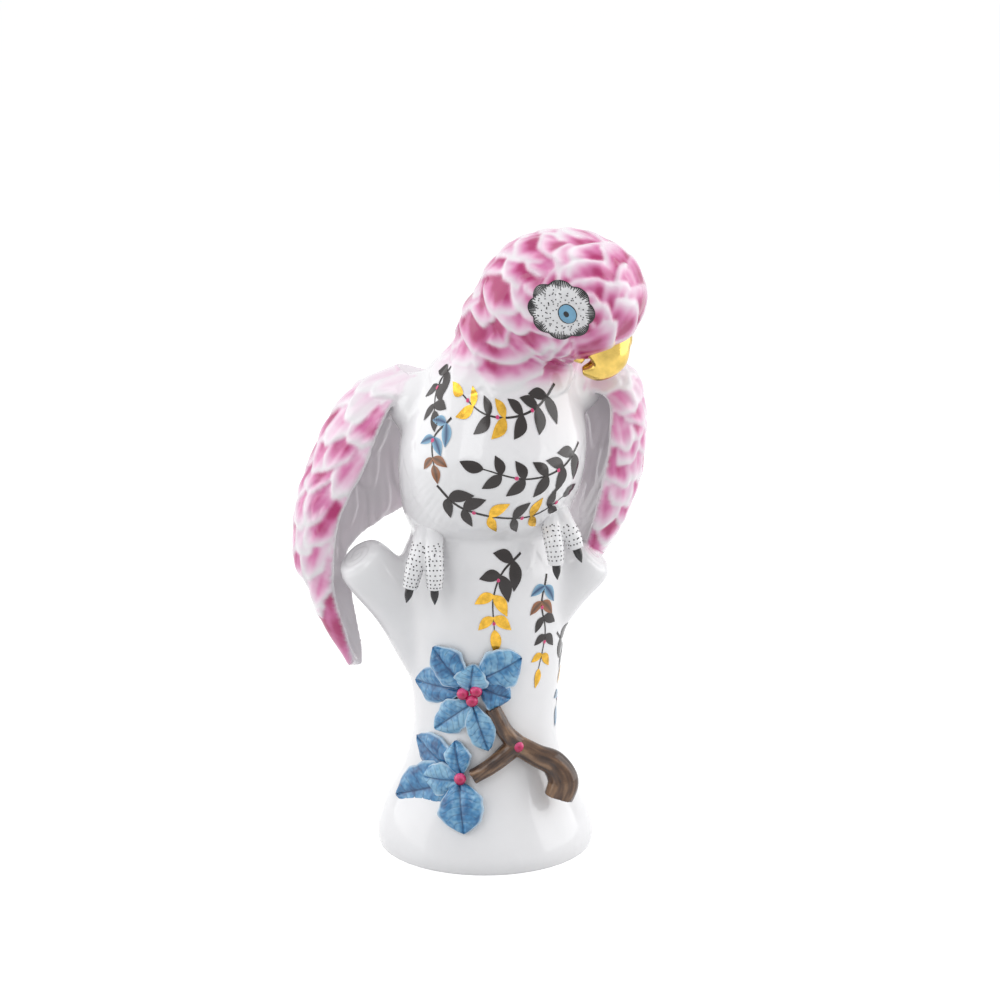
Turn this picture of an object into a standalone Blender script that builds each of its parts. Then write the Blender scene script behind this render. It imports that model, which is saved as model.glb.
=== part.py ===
"""Porcelain parrot perched on a tree stump, about 26 cm tall.

The figurine is one hollow cast, glazed and fired piece: stump, bird, wings, tail, twig, leaves and
berries are a single wall of porcelain round one cavity with a vent in the underside. Metres, +Z up,
the bird faces -Y, and the origin is the centre of the underside.
"""

import math

import bmesh
import bpy
import numpy as np
from mathutils import Matrix, Vector
from mathutils.bvhtree import BVHTree

# Stump
BASE_RADIUS = 0.0455
BASE_EDGE = 0.006
BASE_HEIGHT = 0.034
WAIST_RADIUS = 0.0300
WAIST_HEIGHT = 0.056
STUMP_TOP_RADIUS = 0.0330
STUMP_HEIGHT = 0.131
CREASE_RADIUS = 0.0270
STUB_RADIUS = 0.0115
STUB_ROOT_RADIUS = 0.0145

# Body and neck
BODY_HEIGHT = 0.062
BODY_HALF_WIDTH = 0.0375
BODY_HALF_DEPTH = 0.0375
NECK_RADIUS = 0.0262
NECK_HEIGHT = 0.030
SHOULDER_RADIUS = 0.0130
SHOULDER_SHAPE = (1.05, 1.25, 1.0)
THIGH_RADIUS = 0.0110

# Head and beak
HEAD_LENGTH = 0.0650
HEAD_HEIGHT = 0.0512
HEAD_WIDTH = 0.0540
HEAD_RAKE = math.radians(1)
HEAD_RISE = 0.0112
BEAK_DEPTH = 0.0245
BEAK_WIDTH = 0.0170
BEAK_LENGTH = 0.0105
MANDIBLE_RADIUS = 0.0033
EYE_RADIUS = 0.0038
EYE_BULGE = 0.0008
EYE_TURN = 0.0
EYE_LEAN = math.radians(84.5)

# Wings, tail and feet
WING_SPAN = 0.1455
WING_THICKNESS = 0.0046
WING_LENGTH = 0.1500
TAIL_HALF_WIDTH = 0.0240
TAIL_THICKNESS = 0.0060
TAIL_LENGTH = 0.0900
TAIL_GROOVE = 0.0006
TOE_RADIUS = 0.0038
CLAW_LENGTH = 0.0035

# Plumage relief
FEATHER_STEP = 0.0011
CREST_ROW = math.radians(20)
CREST_SPREAD = math.radians(22)
CREST_FEATHER = 0.0220
CREST_TAPER = 0.65
NECK_ROW = 0.0090
FEATHER_WIDTH = 0.0125
COVERT_LENGTH = 0.0110
COVERT_GROWTH = 1.13

# Twig, leaves and berries
TWIG_RADIUS = 0.0036
LEAF_THICKNESS = 0.0024
LEAF_LIFT = 0.0030
BERRY_RADIUS = 0.0025
BERRY_LIFT = 0.0052

# Casting
WALL = 0.0055
FLOOR = 0.0065
VENT_RADIUS = 0.0070
VENT_SETBACK = 0.0115

# Fineness of the skin
VOXEL = 0.0010
SKIN_TRIANGLES = 10400

COLOURS = {
    "white_glaze": ((0.86, 0.86, 0.87), 0.0, 0.08),
    "pink_plumage": ((0.80, 0.22, 0.42), 0.0, 0.10),
    "gold_lustre": ((0.86, 0.60, 0.15), 1.0, 0.18),
    "blue_leaf": ((0.16, 0.40, 0.66), 0.0, 0.12),
    "brown_bark": ((0.20, 0.11, 0.07), 0.0, 0.15),
    "berry_red": ((0.75, 0.04, 0.20), 0.0, 0.08),
    "black_claw": ((0.02, 0.02, 0.02), 0.0, 0.12),
}


# Curves and sections


def smooth_rows(rows, count):
    """Rows on a Catmull-Rom curve through the given rows, evenly spread between them."""
    rows = np.asarray(rows, float)
    padded = np.vstack([2 * rows[0] - rows[1], rows, 2 * rows[-1] - rows[-2]])
    places = np.linspace(0, len(rows) - 1, count)
    start = np.minimum(places.astype(int), len(rows) - 2)
    t = (places - start)[:, None]
    a, b, c, d = (padded[start + k] for k in range(4))
    return 0.5 * (
        2 * b + (c - a) * t + (2 * a - 5 * b + 4 * c - d) * t**2 + (3 * b - a - 3 * c + d) * t**3
    )


def bridge_rings(rings):
    """A closed form from equal rings of points, with a fan at each end."""
    rings = np.asarray(rings, float)
    count, around = rings.shape[:2]
    points = np.vstack([rings.reshape(-1, 3), rings[0].mean(0), rings[-1].mean(0)])
    faces = []
    for i in range(count - 1):
        for j in range(around):
            k = (j + 1) % around
            faces.append((i * around + j, i * around + k, (i + 1) * around + k, (i + 1) * around + j))
    first_tip, last_tip = count * around, count * around + 1
    last = (count - 1) * around
    for j in range(around):
        k = (j + 1) % around
        faces.append((k, j, first_tip))
        faces.append((last + j, last + k, last_tip))
    return points, faces


def stacked(sections, count=40, around=40):
    """A form from level sections, each (height, centre x, centre y, half width, half depth)."""
    angles = np.linspace(0, 2 * math.pi, around, endpoint=False)
    rings = []
    for z, x, y, half_width, half_depth in smooth_rows(sections, count):
        half_width, half_depth = max(half_width, 1e-4), max(half_depth, 1e-4)
        ring = [(x + half_width * math.cos(a), y + half_depth * math.sin(a), z) for a in angles]
        rings.append(ring)
    return bridge_rings(rings)


def tube(stations, across=(0, -1, 0), count=24, around=16):
    """A tube through stations of (x, y, z, radius in its own plane, radius across)."""
    rows = smooth_rows(stations, count)
    path = rows[:, :3]
    tangents = np.gradient(path, axis=0)
    tangents /= np.linalg.norm(tangents, axis=1)[:, None]
    angles = np.linspace(0, 2 * math.pi, around, endpoint=False)
    rings = []
    for point, tangent, row in zip(path, tangents, rows):
        side = np.asarray(across, float) - np.dot(across, tangent) * tangent
        side /= np.linalg.norm(side)
        flat = np.cross(side, tangent)
        in_plane, lateral = max(row[3], 2e-4), max(row[4], 2e-4)
        rings.append(
            [point + in_plane * math.cos(a) * flat + lateral * math.sin(a) * side for a in angles]
        )
    return bridge_rings(rings)


def ellipsoid(centre, axes, around=40):
    """An ellipsoid from its centre and three half axes."""
    shape = bmesh.new()
    bmesh.ops.create_uvsphere(shape, u_segments=around, v_segments=around // 2, radius=1.0)
    turn = np.array(axes, float)
    points = np.array([v.co for v in shape.verts]) @ turn + np.asarray(centre, float)
    faces = [tuple(v.index for v in f.verts) for f in shape.faces]
    shape.free()
    return points, faces


def sheet(middle, normals, thickness):
    """A closed sheet of the given thickness on both sides of a grid of points."""
    rows, columns = middle.shape[:2]
    offset = normals * thickness[..., None] / 2
    points = np.vstack([(middle + offset).reshape(-1, 3), (middle - offset).reshape(-1, 3)])
    back = rows * columns
    faces = []
    for i in range(rows - 1):
        for j in range(columns - 1):
            a, b = i * columns + j, i * columns + j + 1
            c, d = b + columns, a + columns
            faces.append((a, b, c, d))
            faces.append((back + d, back + c, back + b, back + a))
    border = [j for j in range(columns)]
    border += [i * columns + columns - 1 for i in range(1, rows)]
    border += [(rows - 1) * columns + j for j in range(columns - 2, -1, -1)]
    border += [i * columns for i in range(rows - 2, 0, -1)]
    for a, b in zip(border, border[1:] + border[:1]):
        faces.append((b, a, back + a, back + b))
    return points, faces


def grid_normals(middle):
    """Unit normals of a grid of points."""
    along = np.gradient(middle, axis=0)
    over = np.gradient(middle, axis=1)
    normals = np.cross(along, over)
    return normals / np.maximum(np.linalg.norm(normals, axis=2), 1e-12)[..., None]


# Stump


def stump_sections():
    """Level sections of the stump, from under the floor plane to the perch."""
    shrink = 0.93
    return [
        (-0.006, 0, 0, BASE_RADIUS * shrink, BASE_RADIUS * shrink),
        (0.0, 0, 0, BASE_RADIUS * 0.985, BASE_RADIUS * 0.985),
        (BASE_EDGE, 0, 0, BASE_RADIUS, BASE_RADIUS),
        (BASE_HEIGHT * 0.55, -0.0005, 0, BASE_RADIUS * 0.91, BASE_RADIUS * 0.91),
        (BASE_HEIGHT, -0.0005, 0, WAIST_RADIUS * 1.13, WAIST_RADIUS * 1.13),
        (WAIST_HEIGHT, 0, 0, WAIST_RADIUS, WAIST_RADIUS),
        (0.5 * (WAIST_HEIGHT + STUMP_HEIGHT), 0, 0, STUMP_TOP_RADIUS, WAIST_RADIUS * 1.02),
        (STUMP_HEIGHT - 0.012, 0, 0, STUMP_TOP_RADIUS * 1.05, WAIST_RADIUS * 1.03),
        (STUMP_HEIGHT, 0, 0, STUMP_TOP_RADIUS * 0.94, WAIST_RADIUS * 0.96),
        (STUMP_HEIGHT + 0.008, 0, 0, CREASE_RADIUS, CREASE_RADIUS),
        (STUMP_HEIGHT + 0.014, 0, 0, CREASE_RADIUS * 0.70, CREASE_RADIUS * 0.70),
    ]


def stump_front(x, z):
    """How far forward the stump's front face lies at a place seen from the front."""
    rows = smooth_rows(stump_sections(), 200)
    _, centre, _, half_width, half_depth = (np.interp(z, rows[:, 0], rows[:, k]) for k in range(5))
    share = min(abs(x - centre) / half_width, 0.97)
    return -half_depth * math.sqrt(1 - share**2)


def stub(root, middle, end):
    """A branch stub from its root inside the stump to its rounded end."""
    path = [
        (*root, STUB_ROOT_RADIUS, STUB_ROOT_RADIUS),
        (*middle, STUB_RADIUS * 1.08, STUB_RADIUS * 1.08),
        (*(0.25 * np.array(middle) + 0.75 * np.array(end)), STUB_RADIUS, STUB_RADIUS),
        (*end, STUB_RADIUS * 0.80, STUB_RADIUS * 0.80),
    ]
    return tube(path, across=(0, -1, 0.2), count=28, around=28)


# Each stub: root, middle and end of its axis, heights from the perch down
STUBS = (
    ((-0.0190, 0.000, -0.052), (-0.0350, -0.0050, -0.027), (-0.0520, -0.0130, -0.0040)),
    ((0.0150, 0.000, -0.040), (0.0300, -0.0015, -0.021), (0.0450, -0.0030, -0.0060)),
)


# Bird


def body_sections():
    """Level sections of the body and neck, from inside the perch up into the head."""
    z = STUMP_HEIGHT
    w, d = BODY_HALF_WIDTH, BODY_HALF_DEPTH
    top = z + BODY_HEIGHT
    neck = top + NECK_HEIGHT
    return [
        (z - 0.008, 0.000, 0.006, w * 0.45, d * 0.40),
        (z + 0.002, -0.001, 0.003, w * 0.74, d * 0.70),
        (z + 0.011, 0.000, -0.002, w * 0.88, d * 0.88),
        (z + BODY_HEIGHT * 0.39, 0.002, -0.006, w * 0.98, d * 0.99),
        (z + BODY_HEIGHT * 0.60, 0.003, -0.008, w * 1.01, d * 1.00),
        (z + BODY_HEIGHT * 0.80, 0.004, -0.006, w * 0.98, d * 0.94),
        (top, 0.005, -0.003, w * 0.88, d * 0.84),
        (top + NECK_HEIGHT * 0.34, 0.0078, -0.002, NECK_RADIUS * 1.11, NECK_RADIUS * 1.05),
        (top + NECK_HEIGHT * 0.67, 0.0120, -0.006, NECK_RADIUS * 0.93, NECK_RADIUS * 0.93),
        (neck, 0.0145, -0.010, NECK_RADIUS * 0.91, NECK_RADIUS * 0.90),
        (neck + 0.009, 0.0180, -0.014, NECK_RADIUS * 0.89, NECK_RADIUS * 0.88),
        (neck + 0.016, 0.0200, -0.016, NECK_RADIUS * 0.74, NECK_RADIUS * 0.74),
    ]


HEAD_CENTRE = np.array([0.0307, -0.0200, STUMP_HEIGHT + BODY_HEIGHT + NECK_HEIGHT + HEAD_RISE])
HEAD_ALONG = np.array([math.cos(HEAD_RAKE), 0, math.sin(HEAD_RAKE)])
HEAD_OVER = np.array([-math.sin(HEAD_RAKE), 0, math.cos(HEAD_RAKE)])
HEAD_SIDE = np.array([0, -1.0, 0])


def head():
    """The skull, long from the nape up to the forehead, bowed so that the beak points down."""
    axes = [HEAD_ALONG * HEAD_LENGTH / 2, HEAD_SIDE * HEAD_WIDTH / 2, HEAD_OVER * HEAD_HEIGHT / 2]
    return ellipsoid(HEAD_CENTRE, axes, around=48)


def head_point(turn, lean):
    """A place on the skull: turn runs from the beak over the crown, lean from the midline to the eye."""
    start = np.array([0.555, 0.0, -0.832])
    over = np.array([0.832, 0.0, 0.555])
    out = math.cos(lean) * (math.cos(turn) * start + math.sin(turn) * over)
    out = out + math.sin(lean) * HEAD_SIDE
    halves = (HEAD_LENGTH / 2, HEAD_HEIGHT / 2, HEAD_WIDTH / 2)
    parts = (out @ HEAD_ALONG, out @ HEAD_OVER, out @ HEAD_SIDE)
    reach = 1 / math.sqrt(sum((p / h) ** 2 for p, h in zip(parts, halves)))
    return HEAD_CENTRE + out * reach


BEAK_ROOT = HEAD_CENTRE + np.array([0.0157, -0.0050, -0.0187])


def beak():
    """The hooked upper beak and the small mandible inside its curve."""
    x, y, z = BEAK_ROOT
    deep, wide, long = BEAK_DEPTH / 2, BEAK_WIDTH / 2, BEAK_LENGTH
    upper = [
        (x, y + 0.0045, z + 0.62 * long, deep, wide * 0.95),
        (x, y, z, deep * 0.97, wide),
        (x + 0.0004, y - 0.0020, z - 0.46 * long, deep * 0.78, wide * 0.86),
        (x - 0.0022, y - 0.0025, z - 0.84 * long, deep * 0.44, wide * 0.62),
        (x - 0.0078, y - 0.0025, z - 0.93 * long, deep * 0.13, wide * 0.30),
    ]
    lower = [
        (x - 0.0120, y + 0.002, z + 0.30 * long, MANDIBLE_RADIUS, MANDIBLE_RADIUS * 1.4),
        (x - 0.0115, y - 0.001, z - 0.20 * long, MANDIBLE_RADIUS, MANDIBLE_RADIUS * 1.4),
        (x - 0.0070, y - 0.0015, z - 0.52 * long, MANDIBLE_RADIUS * 0.6, MANDIBLE_RADIUS),
    ]
    return [tube(upper, count=22, around=24), tube(lower, count=12, around=16)]


def wing_grid(stations, rows, columns):
    """The wing's middle surface: each station is a front rim, an outermost and a trailing point."""
    rims, outers, trails = (
        smooth_rows([station[k] for station in stations], rows) for k in range(3)
    )
    t = np.linspace(-1, 1, columns)[None, :, None]
    rim, outer, trail = rims[:, None, :], outers[:, None, :], trails[:, None, :]
    return rim * t * (t - 1) / 2 + outer * (1 - t**2) + trail * t * (t + 1) / 2


def outward_normals(middle, outward):
    """Normals of a wing's middle surface on its outer side, -1 for the left wing and 1 for the right."""
    normals = grid_normals(middle)
    return -normals if np.sum(normals[..., 0]) * outward < 0 else normals


def wing(stations, outward, rows=70, columns=44):
    """A cupped wing, thickest along its middle and thin at its rims."""
    middle = wing_grid(stations, rows, columns)
    normals = outward_normals(middle, outward)
    across = np.linspace(-1, 1, columns)[None, :]
    along = np.linspace(0, 1, rows)[:, None]
    thickness = WING_THICKNESS * (1 - 0.45 * across**4) * (1 - 0.35 * along**3)
    return sheet(middle, normals, thickness)


def placed(rows, spread=1.0):
    """Stations written from the perch upwards, turned into places and spread sideways."""
    lift = np.array([0, 0, STUMP_HEIGHT])
    widen = np.array([spread, 1, 1])
    return [[np.array(point) * widen + lift for point in row] for row in rows]


# The stations of both wings are written for this span
WRITTEN_SPAN = 0.1455
WING_SPREAD = WING_SPAN / WRITTEN_SPAN


LEFT_WING = placed([
    [(-0.0240, -0.004, 0.0640), (-0.0340, 0.008, 0.0690), (-0.0120, 0.024, 0.0600)],
    [(-0.0360, -0.011, 0.0590), (-0.0520, 0.008, 0.0585), (-0.0220, 0.034, 0.0500)],
    [(-0.0429, -0.015, 0.0473), (-0.0630, 0.007, 0.0424), (-0.0280, 0.041, 0.0340)],
    [(-0.0481, -0.017, 0.0341), (-0.0686, 0.007, 0.0285), (-0.0310, 0.044, 0.0180)],
    [(-0.0548, -0.017, 0.0205), (-0.0728, 0.005, 0.0150), (-0.0335, 0.044, 0.0040)],
    [(-0.0594, -0.017, 0.0101), (-0.0750, 0.003, 0.0030), (-0.0470, 0.037, -0.0030)],
    [(-0.0613, -0.015, -0.0047), (-0.0755, 0.000, -0.0100), (-0.0590, 0.025, -0.0130)],
    [(-0.0624, -0.012, -0.0175), (-0.0702, -0.001, -0.0200), (-0.0570, 0.016, -0.0275)],
    [(-0.0605, -0.010, -0.0275), (-0.0675, -0.001, -0.0300), (-0.0545, 0.013, -0.0400)],
    [(-0.0575, -0.007, -0.0390), (-0.0630, 0.000, -0.0410), (-0.0525, 0.009, -0.0500)],
    [(-0.0545, -0.002, -0.0530), (-0.0545, 0.001, -0.0550), (-0.0525, 0.004, -0.0560)],
], WING_SPREAD)
RIGHT_WING = placed([
    [(0.0340, -0.006, 0.0640), (0.0424, 0.008, 0.0740), (0.0200, 0.026, 0.0640)],
    [(0.0490, -0.009, 0.0600), (0.0574, 0.008, 0.0660), (0.0260, 0.036, 0.0560)],
    [(0.0505, -0.011, 0.0440), (0.0612, 0.009, 0.0460), (0.0290, 0.044, 0.0400)],
    [(0.0475, -0.011, 0.0250), (0.0596, 0.009, 0.0240), (0.0300, 0.046, 0.0180)],
    [(0.0440, -0.007, 0.0080), (0.0534, 0.009, 0.0060), (0.0300, 0.046, 0.0000)],
    [(0.0405, 0.001, -0.0060), (0.0454, 0.013, -0.0090), (0.0310, 0.040, -0.0160)],
    [(0.0350, 0.013, -0.0190), (0.0379, 0.021, -0.0220), (0.0290, 0.035, -0.0270)],
    [(0.0290, 0.023, -0.0350), (0.0289, 0.025, -0.0370), (0.0270, 0.028, -0.0370)],
], WING_SPREAD)


def tail():
    """The tail hangs behind the stump and leans on it."""
    root_z = STUMP_HEIGHT + 0.012
    back = WAIST_RADIUS
    half = TAIL_HALF_WIDTH
    stations = [
        (-0.001, back - 0.010, root_z, half * 0.75, TAIL_THICKNESS),
        (-0.003, back + 0.003, root_z - 0.24 * TAIL_LENGTH, half * 1.05, TAIL_THICKNESS * 0.7),
        (-0.004, back + 0.005, root_z - 0.52 * TAIL_LENGTH, half * 1.0, TAIL_THICKNESS * 0.6),
        (-0.004, back + 0.002, root_z - 0.80 * TAIL_LENGTH, half * 0.72, TAIL_THICKNESS * 0.5),
        (-0.004, back + 0.001, root_z - TAIL_LENGTH, half * 0.22, TAIL_THICKNESS * 0.35),
    ]
    return tube(stations, across=(0, 1, 0), count=40, around=32)


def toe(points):
    """One toe with its claw, from the shin over the edge of the perch."""
    swell = (1.25, 1.08, 1.0, 0.80)
    stations = [(*p, TOE_RADIUS * s, TOE_RADIUS * s) for p, s in zip(points, swell)]
    tip = np.array(points[-1])
    down = tip - np.array(points[-2])
    down /= np.linalg.norm(down)
    claw_end = tip + down * (CLAW_LENGTH + TOE_RADIUS) + np.array([0, 0.0008, 0])
    claw = [(*tip, TOE_RADIUS * 0.75, TOE_RADIUS * 0.75), (*claw_end, 2e-4, 2e-4)]
    return tube(stations, across=(1, 0, 0), count=16), tube(claw, across=(1, 0, 0), count=5, around=10)


# Each toe: shin, knuckle, middle and tip
TOES = placed([
    [(-0.023, -0.017, 0.009), (-0.0255, -0.028, 0.003), (-0.028, -0.032, -0.0045), (-0.03, -0.0325, -0.013)],
    [(-0.021, -0.018, 0.009), (-0.0205, -0.0295, 0.003), (-0.02, -0.034, -0.005), (-0.02, -0.0345, -0.013)],
    [(0.0265, -0.018, 0.016), (0.027, -0.0285, 0.010), (0.028, -0.0325, 0.004), (0.0286, -0.033, -0.003)],
    [(0.0285, -0.017, 0.017), (0.032, -0.025, 0.012), (0.035, -0.028, 0.0075), (0.0368, -0.0285, 0.0025)],
])


# Twig, leaves and berries


def on_stump(x, z, proud=0.0):
    """A place on the stump's front face, standing proud of it."""
    return (x, stump_front(x, z) - proud, z)


def twig():
    """The applied twig: an elbow at its sawn end, a fork, and two shoots."""
    r = TWIG_RADIUS
    fork = (*on_stump(0.0130, WAIST_HEIGHT - 0.0050, r * 0.6), r * 1.15, r * 1.15)
    stem = [
        (0.0300, -0.0310, WAIST_HEIGHT - 0.0275, r * 1.66, r * 1.40),
        (0.0320, -0.0300, WAIST_HEIGHT - 0.0205, r * 1.78, r * 1.50),
        (0.0282, -0.0290, WAIST_HEIGHT - 0.0135, r * 1.55, r * 1.38),
        (0.0210, -0.0300, WAIST_HEIGHT - 0.0095, r * 1.30, r * 1.25),
        fork,
    ]
    upper = [
        fork,
        (*on_stump(0.0080, WAIST_HEIGHT + 0.0015, r * 0.7), r, r),
        (*on_stump(0.0030, WAIST_HEIGHT + 0.0115, r * 0.6), r * 0.85, r * 0.85),
    ]
    lower = [
        fork,
        (*on_stump(0.0035, WAIST_HEIGHT - 0.0120, r * 0.8), r * 0.95, r * 0.9),
        (*on_stump(-0.0052, WAIST_HEIGHT - 0.0170, r * 0.9), r * 0.90, r * 0.85),
    ]
    return [tube(path, count=16, around=16) for path in (stem, upper, lower)]


# Each leaf: foot x and height, tip x and height, width, lift; heights count from the waist
LEAVES = (
    (-0.0076, 0.0213, -0.0210, 0.0355, 0.0152, 1.0),
    (-0.0094, 0.0187, -0.0285, 0.0180, 0.0152, 0.5),
    (-0.0056, 0.0193, -0.0046, 0.0300, 0.0134, 1.7),
    (-0.0035, 0.0235, 0.0150, 0.0320, 0.0171, 1.0),
    (-0.0013, 0.0200, 0.0105, 0.0150, 0.0140, 0.4),
    (-0.0052, 0.0130, -0.0206, 0.0000, 0.0134, 0.6),
    (-0.0049, 0.0130, 0.0015, -0.0065, 0.0116, 1.1),
    (-0.0115, -0.0161, -0.0280, -0.0060, 0.0165, 1.0),
    (-0.0091, -0.0161, -0.0122, -0.0030, 0.0110, 1.4),
    (-0.0099, -0.0185, -0.0255, -0.0200, 0.0134, 1.6),
    (-0.0120, -0.0200, -0.0370, -0.0320, 0.0220, 0.3),
    (-0.0099, -0.0195, -0.0084, -0.0385, 0.0189, 0.9),
)
# Each berry: x and height from the waist
BERRIES = (
    (-0.0089, 0.0180),
    (-0.0035, 0.0195),
    (-0.0052, 0.0153),
    (-0.0101, -0.0175),
    (0.0137, -0.0050),
)


def leaf(foot_x, foot_z, tip_x, tip_z, width, lift, rows=22, columns=15):
    """A pointed leaf with wavy sides: its foot sits on the stump and its tip lifts off it."""
    foot = np.array(on_stump(foot_x, WAIST_HEIGHT + foot_z, 0.3 * LEAF_LIFT + 0.4 * LEAF_LIFT * lift))
    tip = np.array(on_stump(tip_x, WAIST_HEIGHT + tip_z, 0.4 * LEAF_LIFT + 0.4 * LEAF_LIFT * lift))
    along = tip - foot
    out = (foot + tip) / 2 * np.array([1, 1, 0])
    across = np.cross(along, out / np.linalg.norm(out))
    across /= np.linalg.norm(across)
    out = np.cross(across, along / np.linalg.norm(along))
    u = np.linspace(0, 1, rows)[:, None, None]
    v = np.linspace(-1, 1, columns)[None, :, None]
    half = np.sin(math.pi * np.clip(u * 0.94 + 0.06, 0, 1) ** 0.85) ** 0.75 * (1 - 0.25 * u**4)
    half = width / 2 * np.maximum(half * (1 + 0.08 * np.sin(u * 19 + 1.0)), 0.04)
    bow = 0.0014 * np.sin(math.pi * u) + 0.0009 * np.sin(math.pi * np.minimum(np.abs(v) * 1.15, 1))
    bow = bow - 0.0010 * u**3
    middle = foot + along * u + across * half * v + out * bow
    normals = np.broadcast_to(out, middle.shape)
    return sheet(middle, normals, np.full((rows, columns), LEAF_THICKNESS))


def berry(x, z):
    """A round berry seated in the foliage or on the fork."""
    centre = on_stump(x, WAIST_HEIGHT + z, BERRY_LIFT)
    return ellipsoid(centre, np.eye(3) * BERRY_RADIUS, around=16)


# Skin


def mesh_from(forms, name):
    """One mesh that holds several closed forms."""
    points, faces, count = [], [], 0
    for form_points, form_faces in forms:
        points.append(form_points)
        faces += [tuple(i + count for i in face) for face in form_faces]
        count += len(form_points)
    mesh = bpy.data.meshes.new(name)
    mesh.from_pydata(np.vstack(points).tolist(), [], faces)
    mesh.update()
    return mesh


def evaluated(obj):
    """The object's mesh with its modifiers applied, and the object removed."""
    graph = bpy.context.evaluated_depsgraph_get()
    mesh = bpy.data.meshes.new_from_object(obj.evaluated_get(graph))
    bpy.data.objects.remove(obj)
    return mesh


def fused(forms, voxel, rounds):
    """One closed skin round overlapping forms, with the joins between them softened."""
    obj = bpy.data.objects.new("forms", mesh_from(forms, "forms"))
    bpy.context.scene.collection.objects.link(obj)
    skin = obj.modifiers.new("skin", "REMESH")
    skin.mode = "VOXEL"
    skin.voxel_size = voxel
    soften = obj.modifiers.new("soften", "SMOOTH")
    soften.factor = 0.5
    soften.iterations = rounds
    return evaluated(obj)


def as_form(mesh):
    """A mesh's points and faces."""
    points = np.zeros(len(mesh.vertices) * 3)
    mesh.vertices.foreach_get("co", points)
    return points.reshape(-1, 3), [tuple(f.vertices) for f in mesh.polygons]


# Plumage relief


def head_feathers():
    """Rows of feathers from the beak over the crown to the nape, on both sides of the head."""
    feathers = []
    first, last = math.radians(40), math.radians(305)
    for row, turn in enumerate(np.arange(first, last, CREST_ROW)):
        stagger = 0.5 if row % 2 else 0.0
        for k in range(-3, 4):
            lean = (k + stagger) * CREST_SPREAD
            if abs(lean) > math.radians(70):
                continue
            here, ahead = head_point(turn, lean), head_point(turn + 0.05, lean)
            size = 1 - CREST_TAPER * (1 - math.cos(lean))
            width = FEATHER_WIDTH * (1 + 0.4 * (size - 1) * CREST_TAPER)
            feathers.append((here, ahead - here, CREST_FEATHER * size, width, 1.0))
    return feathers


def neck_feathers():
    """Three looser rows round the neck, pointing down."""
    feathers = []
    around = 12
    for row in range(3):
        centre = np.array([0.010, -0.004, STUMP_HEIGHT + BODY_HEIGHT + 0.024 - NECK_ROW * row])
        for k in range(around):
            angle = 2 * math.pi * (k + 0.5 * (row % 2)) / around
            out = np.array([math.cos(angle), math.sin(angle), 0])
            down = np.array([0, 0, -1.0]) + 0.2 * out
            feathers.append((centre + out * NECK_RADIUS, down, 2 * NECK_ROW, 1.2 * FEATHER_WIDTH, 0.7))
    return feathers


def wing_feathers(stations, outward):
    """Staggered rows of coverts and then flight feathers, each row longer than the one above."""
    rows, columns = 101, 41
    middle = wing_grid(stations, rows, columns)
    grid = middle + outward_normals(middle, outward) * WING_THICKNESS / 2
    feathers = []
    row, length, row_number = 2.0, COVERT_LENGTH, 0
    while row < 0.86 * rows:
        line = grid[int(row)]
        across = np.linalg.norm(np.diff(line, axis=0), axis=1).sum()
        count = max(2, round(across / FEATHER_WIDTH))
        stagger = 0.25 if row_number % 2 else -0.25
        for k in range(count):
            column = min(max(round(columns * (k + 0.5 + stagger) / count), 1), columns - 2)
            ahead = grid[min(int(row) + 6, rows - 1), column + 1]
            direction = ahead - line[column]
            feathers.append((line[column], direction, 1.7 * length, 1.15 * FEATHER_WIDTH, 1.25))
        row += rows * 0.78 * length / WING_LENGTH
        length *= COVERT_GROWTH
        row_number += 1
    return feathers


def lay_feathers(points, normals, feathers, step):
    """Height of overlapping feathers at each point, and how far along its own feather each point lies.

    Feathers later in the list lie under earlier ones. Each rises from its root to its round tip.
    """
    height = np.zeros(len(points))
    along = np.full(len(points), -1.0)
    for root, direction, length, width, lift in reversed(feathers):
        offset = points - root
        close = np.nonzero((offset**2).sum(1) < (length * 1.1) ** 2)[0]
        if not len(close):
            continue
        nearest = close[np.argmin((offset[close] ** 2).sum(1))]
        out = normals[nearest]
        forward = direction - (direction @ out) * out
        forward = forward / np.linalg.norm(forward)
        side = np.cross(out, forward)
        close = close[normals[close] @ out > 0.15]
        local = offset[close]
        u = local @ forward / length
        v = local @ side / (width / 2)
        tip = 1 - 0.42 * v**2
        inside = (u > 0) & (u < tip) & (np.abs(v) < 1)
        chosen = close[inside]
        share = u[inside] / tip[inside]
        height[chosen] = step * lift * (0.05 + 0.95 * share**1.3) * (1 - 0.25 * v[inside] ** 2)
        along[chosen] = share
    return height, along


def plumage():
    """All the feathers, those nearest the beak first."""
    feathers = head_feathers() + neck_feathers()
    return feathers + wing_feathers(LEFT_WING, -1) + wing_feathers(RIGHT_WING, 1)


def tail_grooves(points):
    """Shallow grooves that part the tail's long feathers."""
    back = (points[:, 1] > WAIST_RADIUS - 0.002) & (points[:, 2] < STUMP_HEIGHT + 0.004)
    back &= np.abs(points[:, 0] + 0.003) < TAIL_HALF_WIDTH * 1.1
    spread = (points[:, 0] + 0.003) / TAIL_HALF_WIDTH
    groove = -TAIL_GROOVE * np.maximum(0, np.cos(spread * math.pi * 4)) ** 6
    return np.where(back & (points[:, 2] > 0.045), groove, 0)


def eye_bulge(points):
    """A low dome for each eye."""
    bulge = np.zeros(len(points))
    for side in (-1, 1):
        centre = head_point(EYE_TURN, side * EYE_LEAN)
        distance = np.linalg.norm(points - centre, axis=1)
        bulge += EYE_BULGE * np.clip(1 - (distance / EYE_RADIUS) ** 2, 0, 1) ** 0.5
    return bulge


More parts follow.
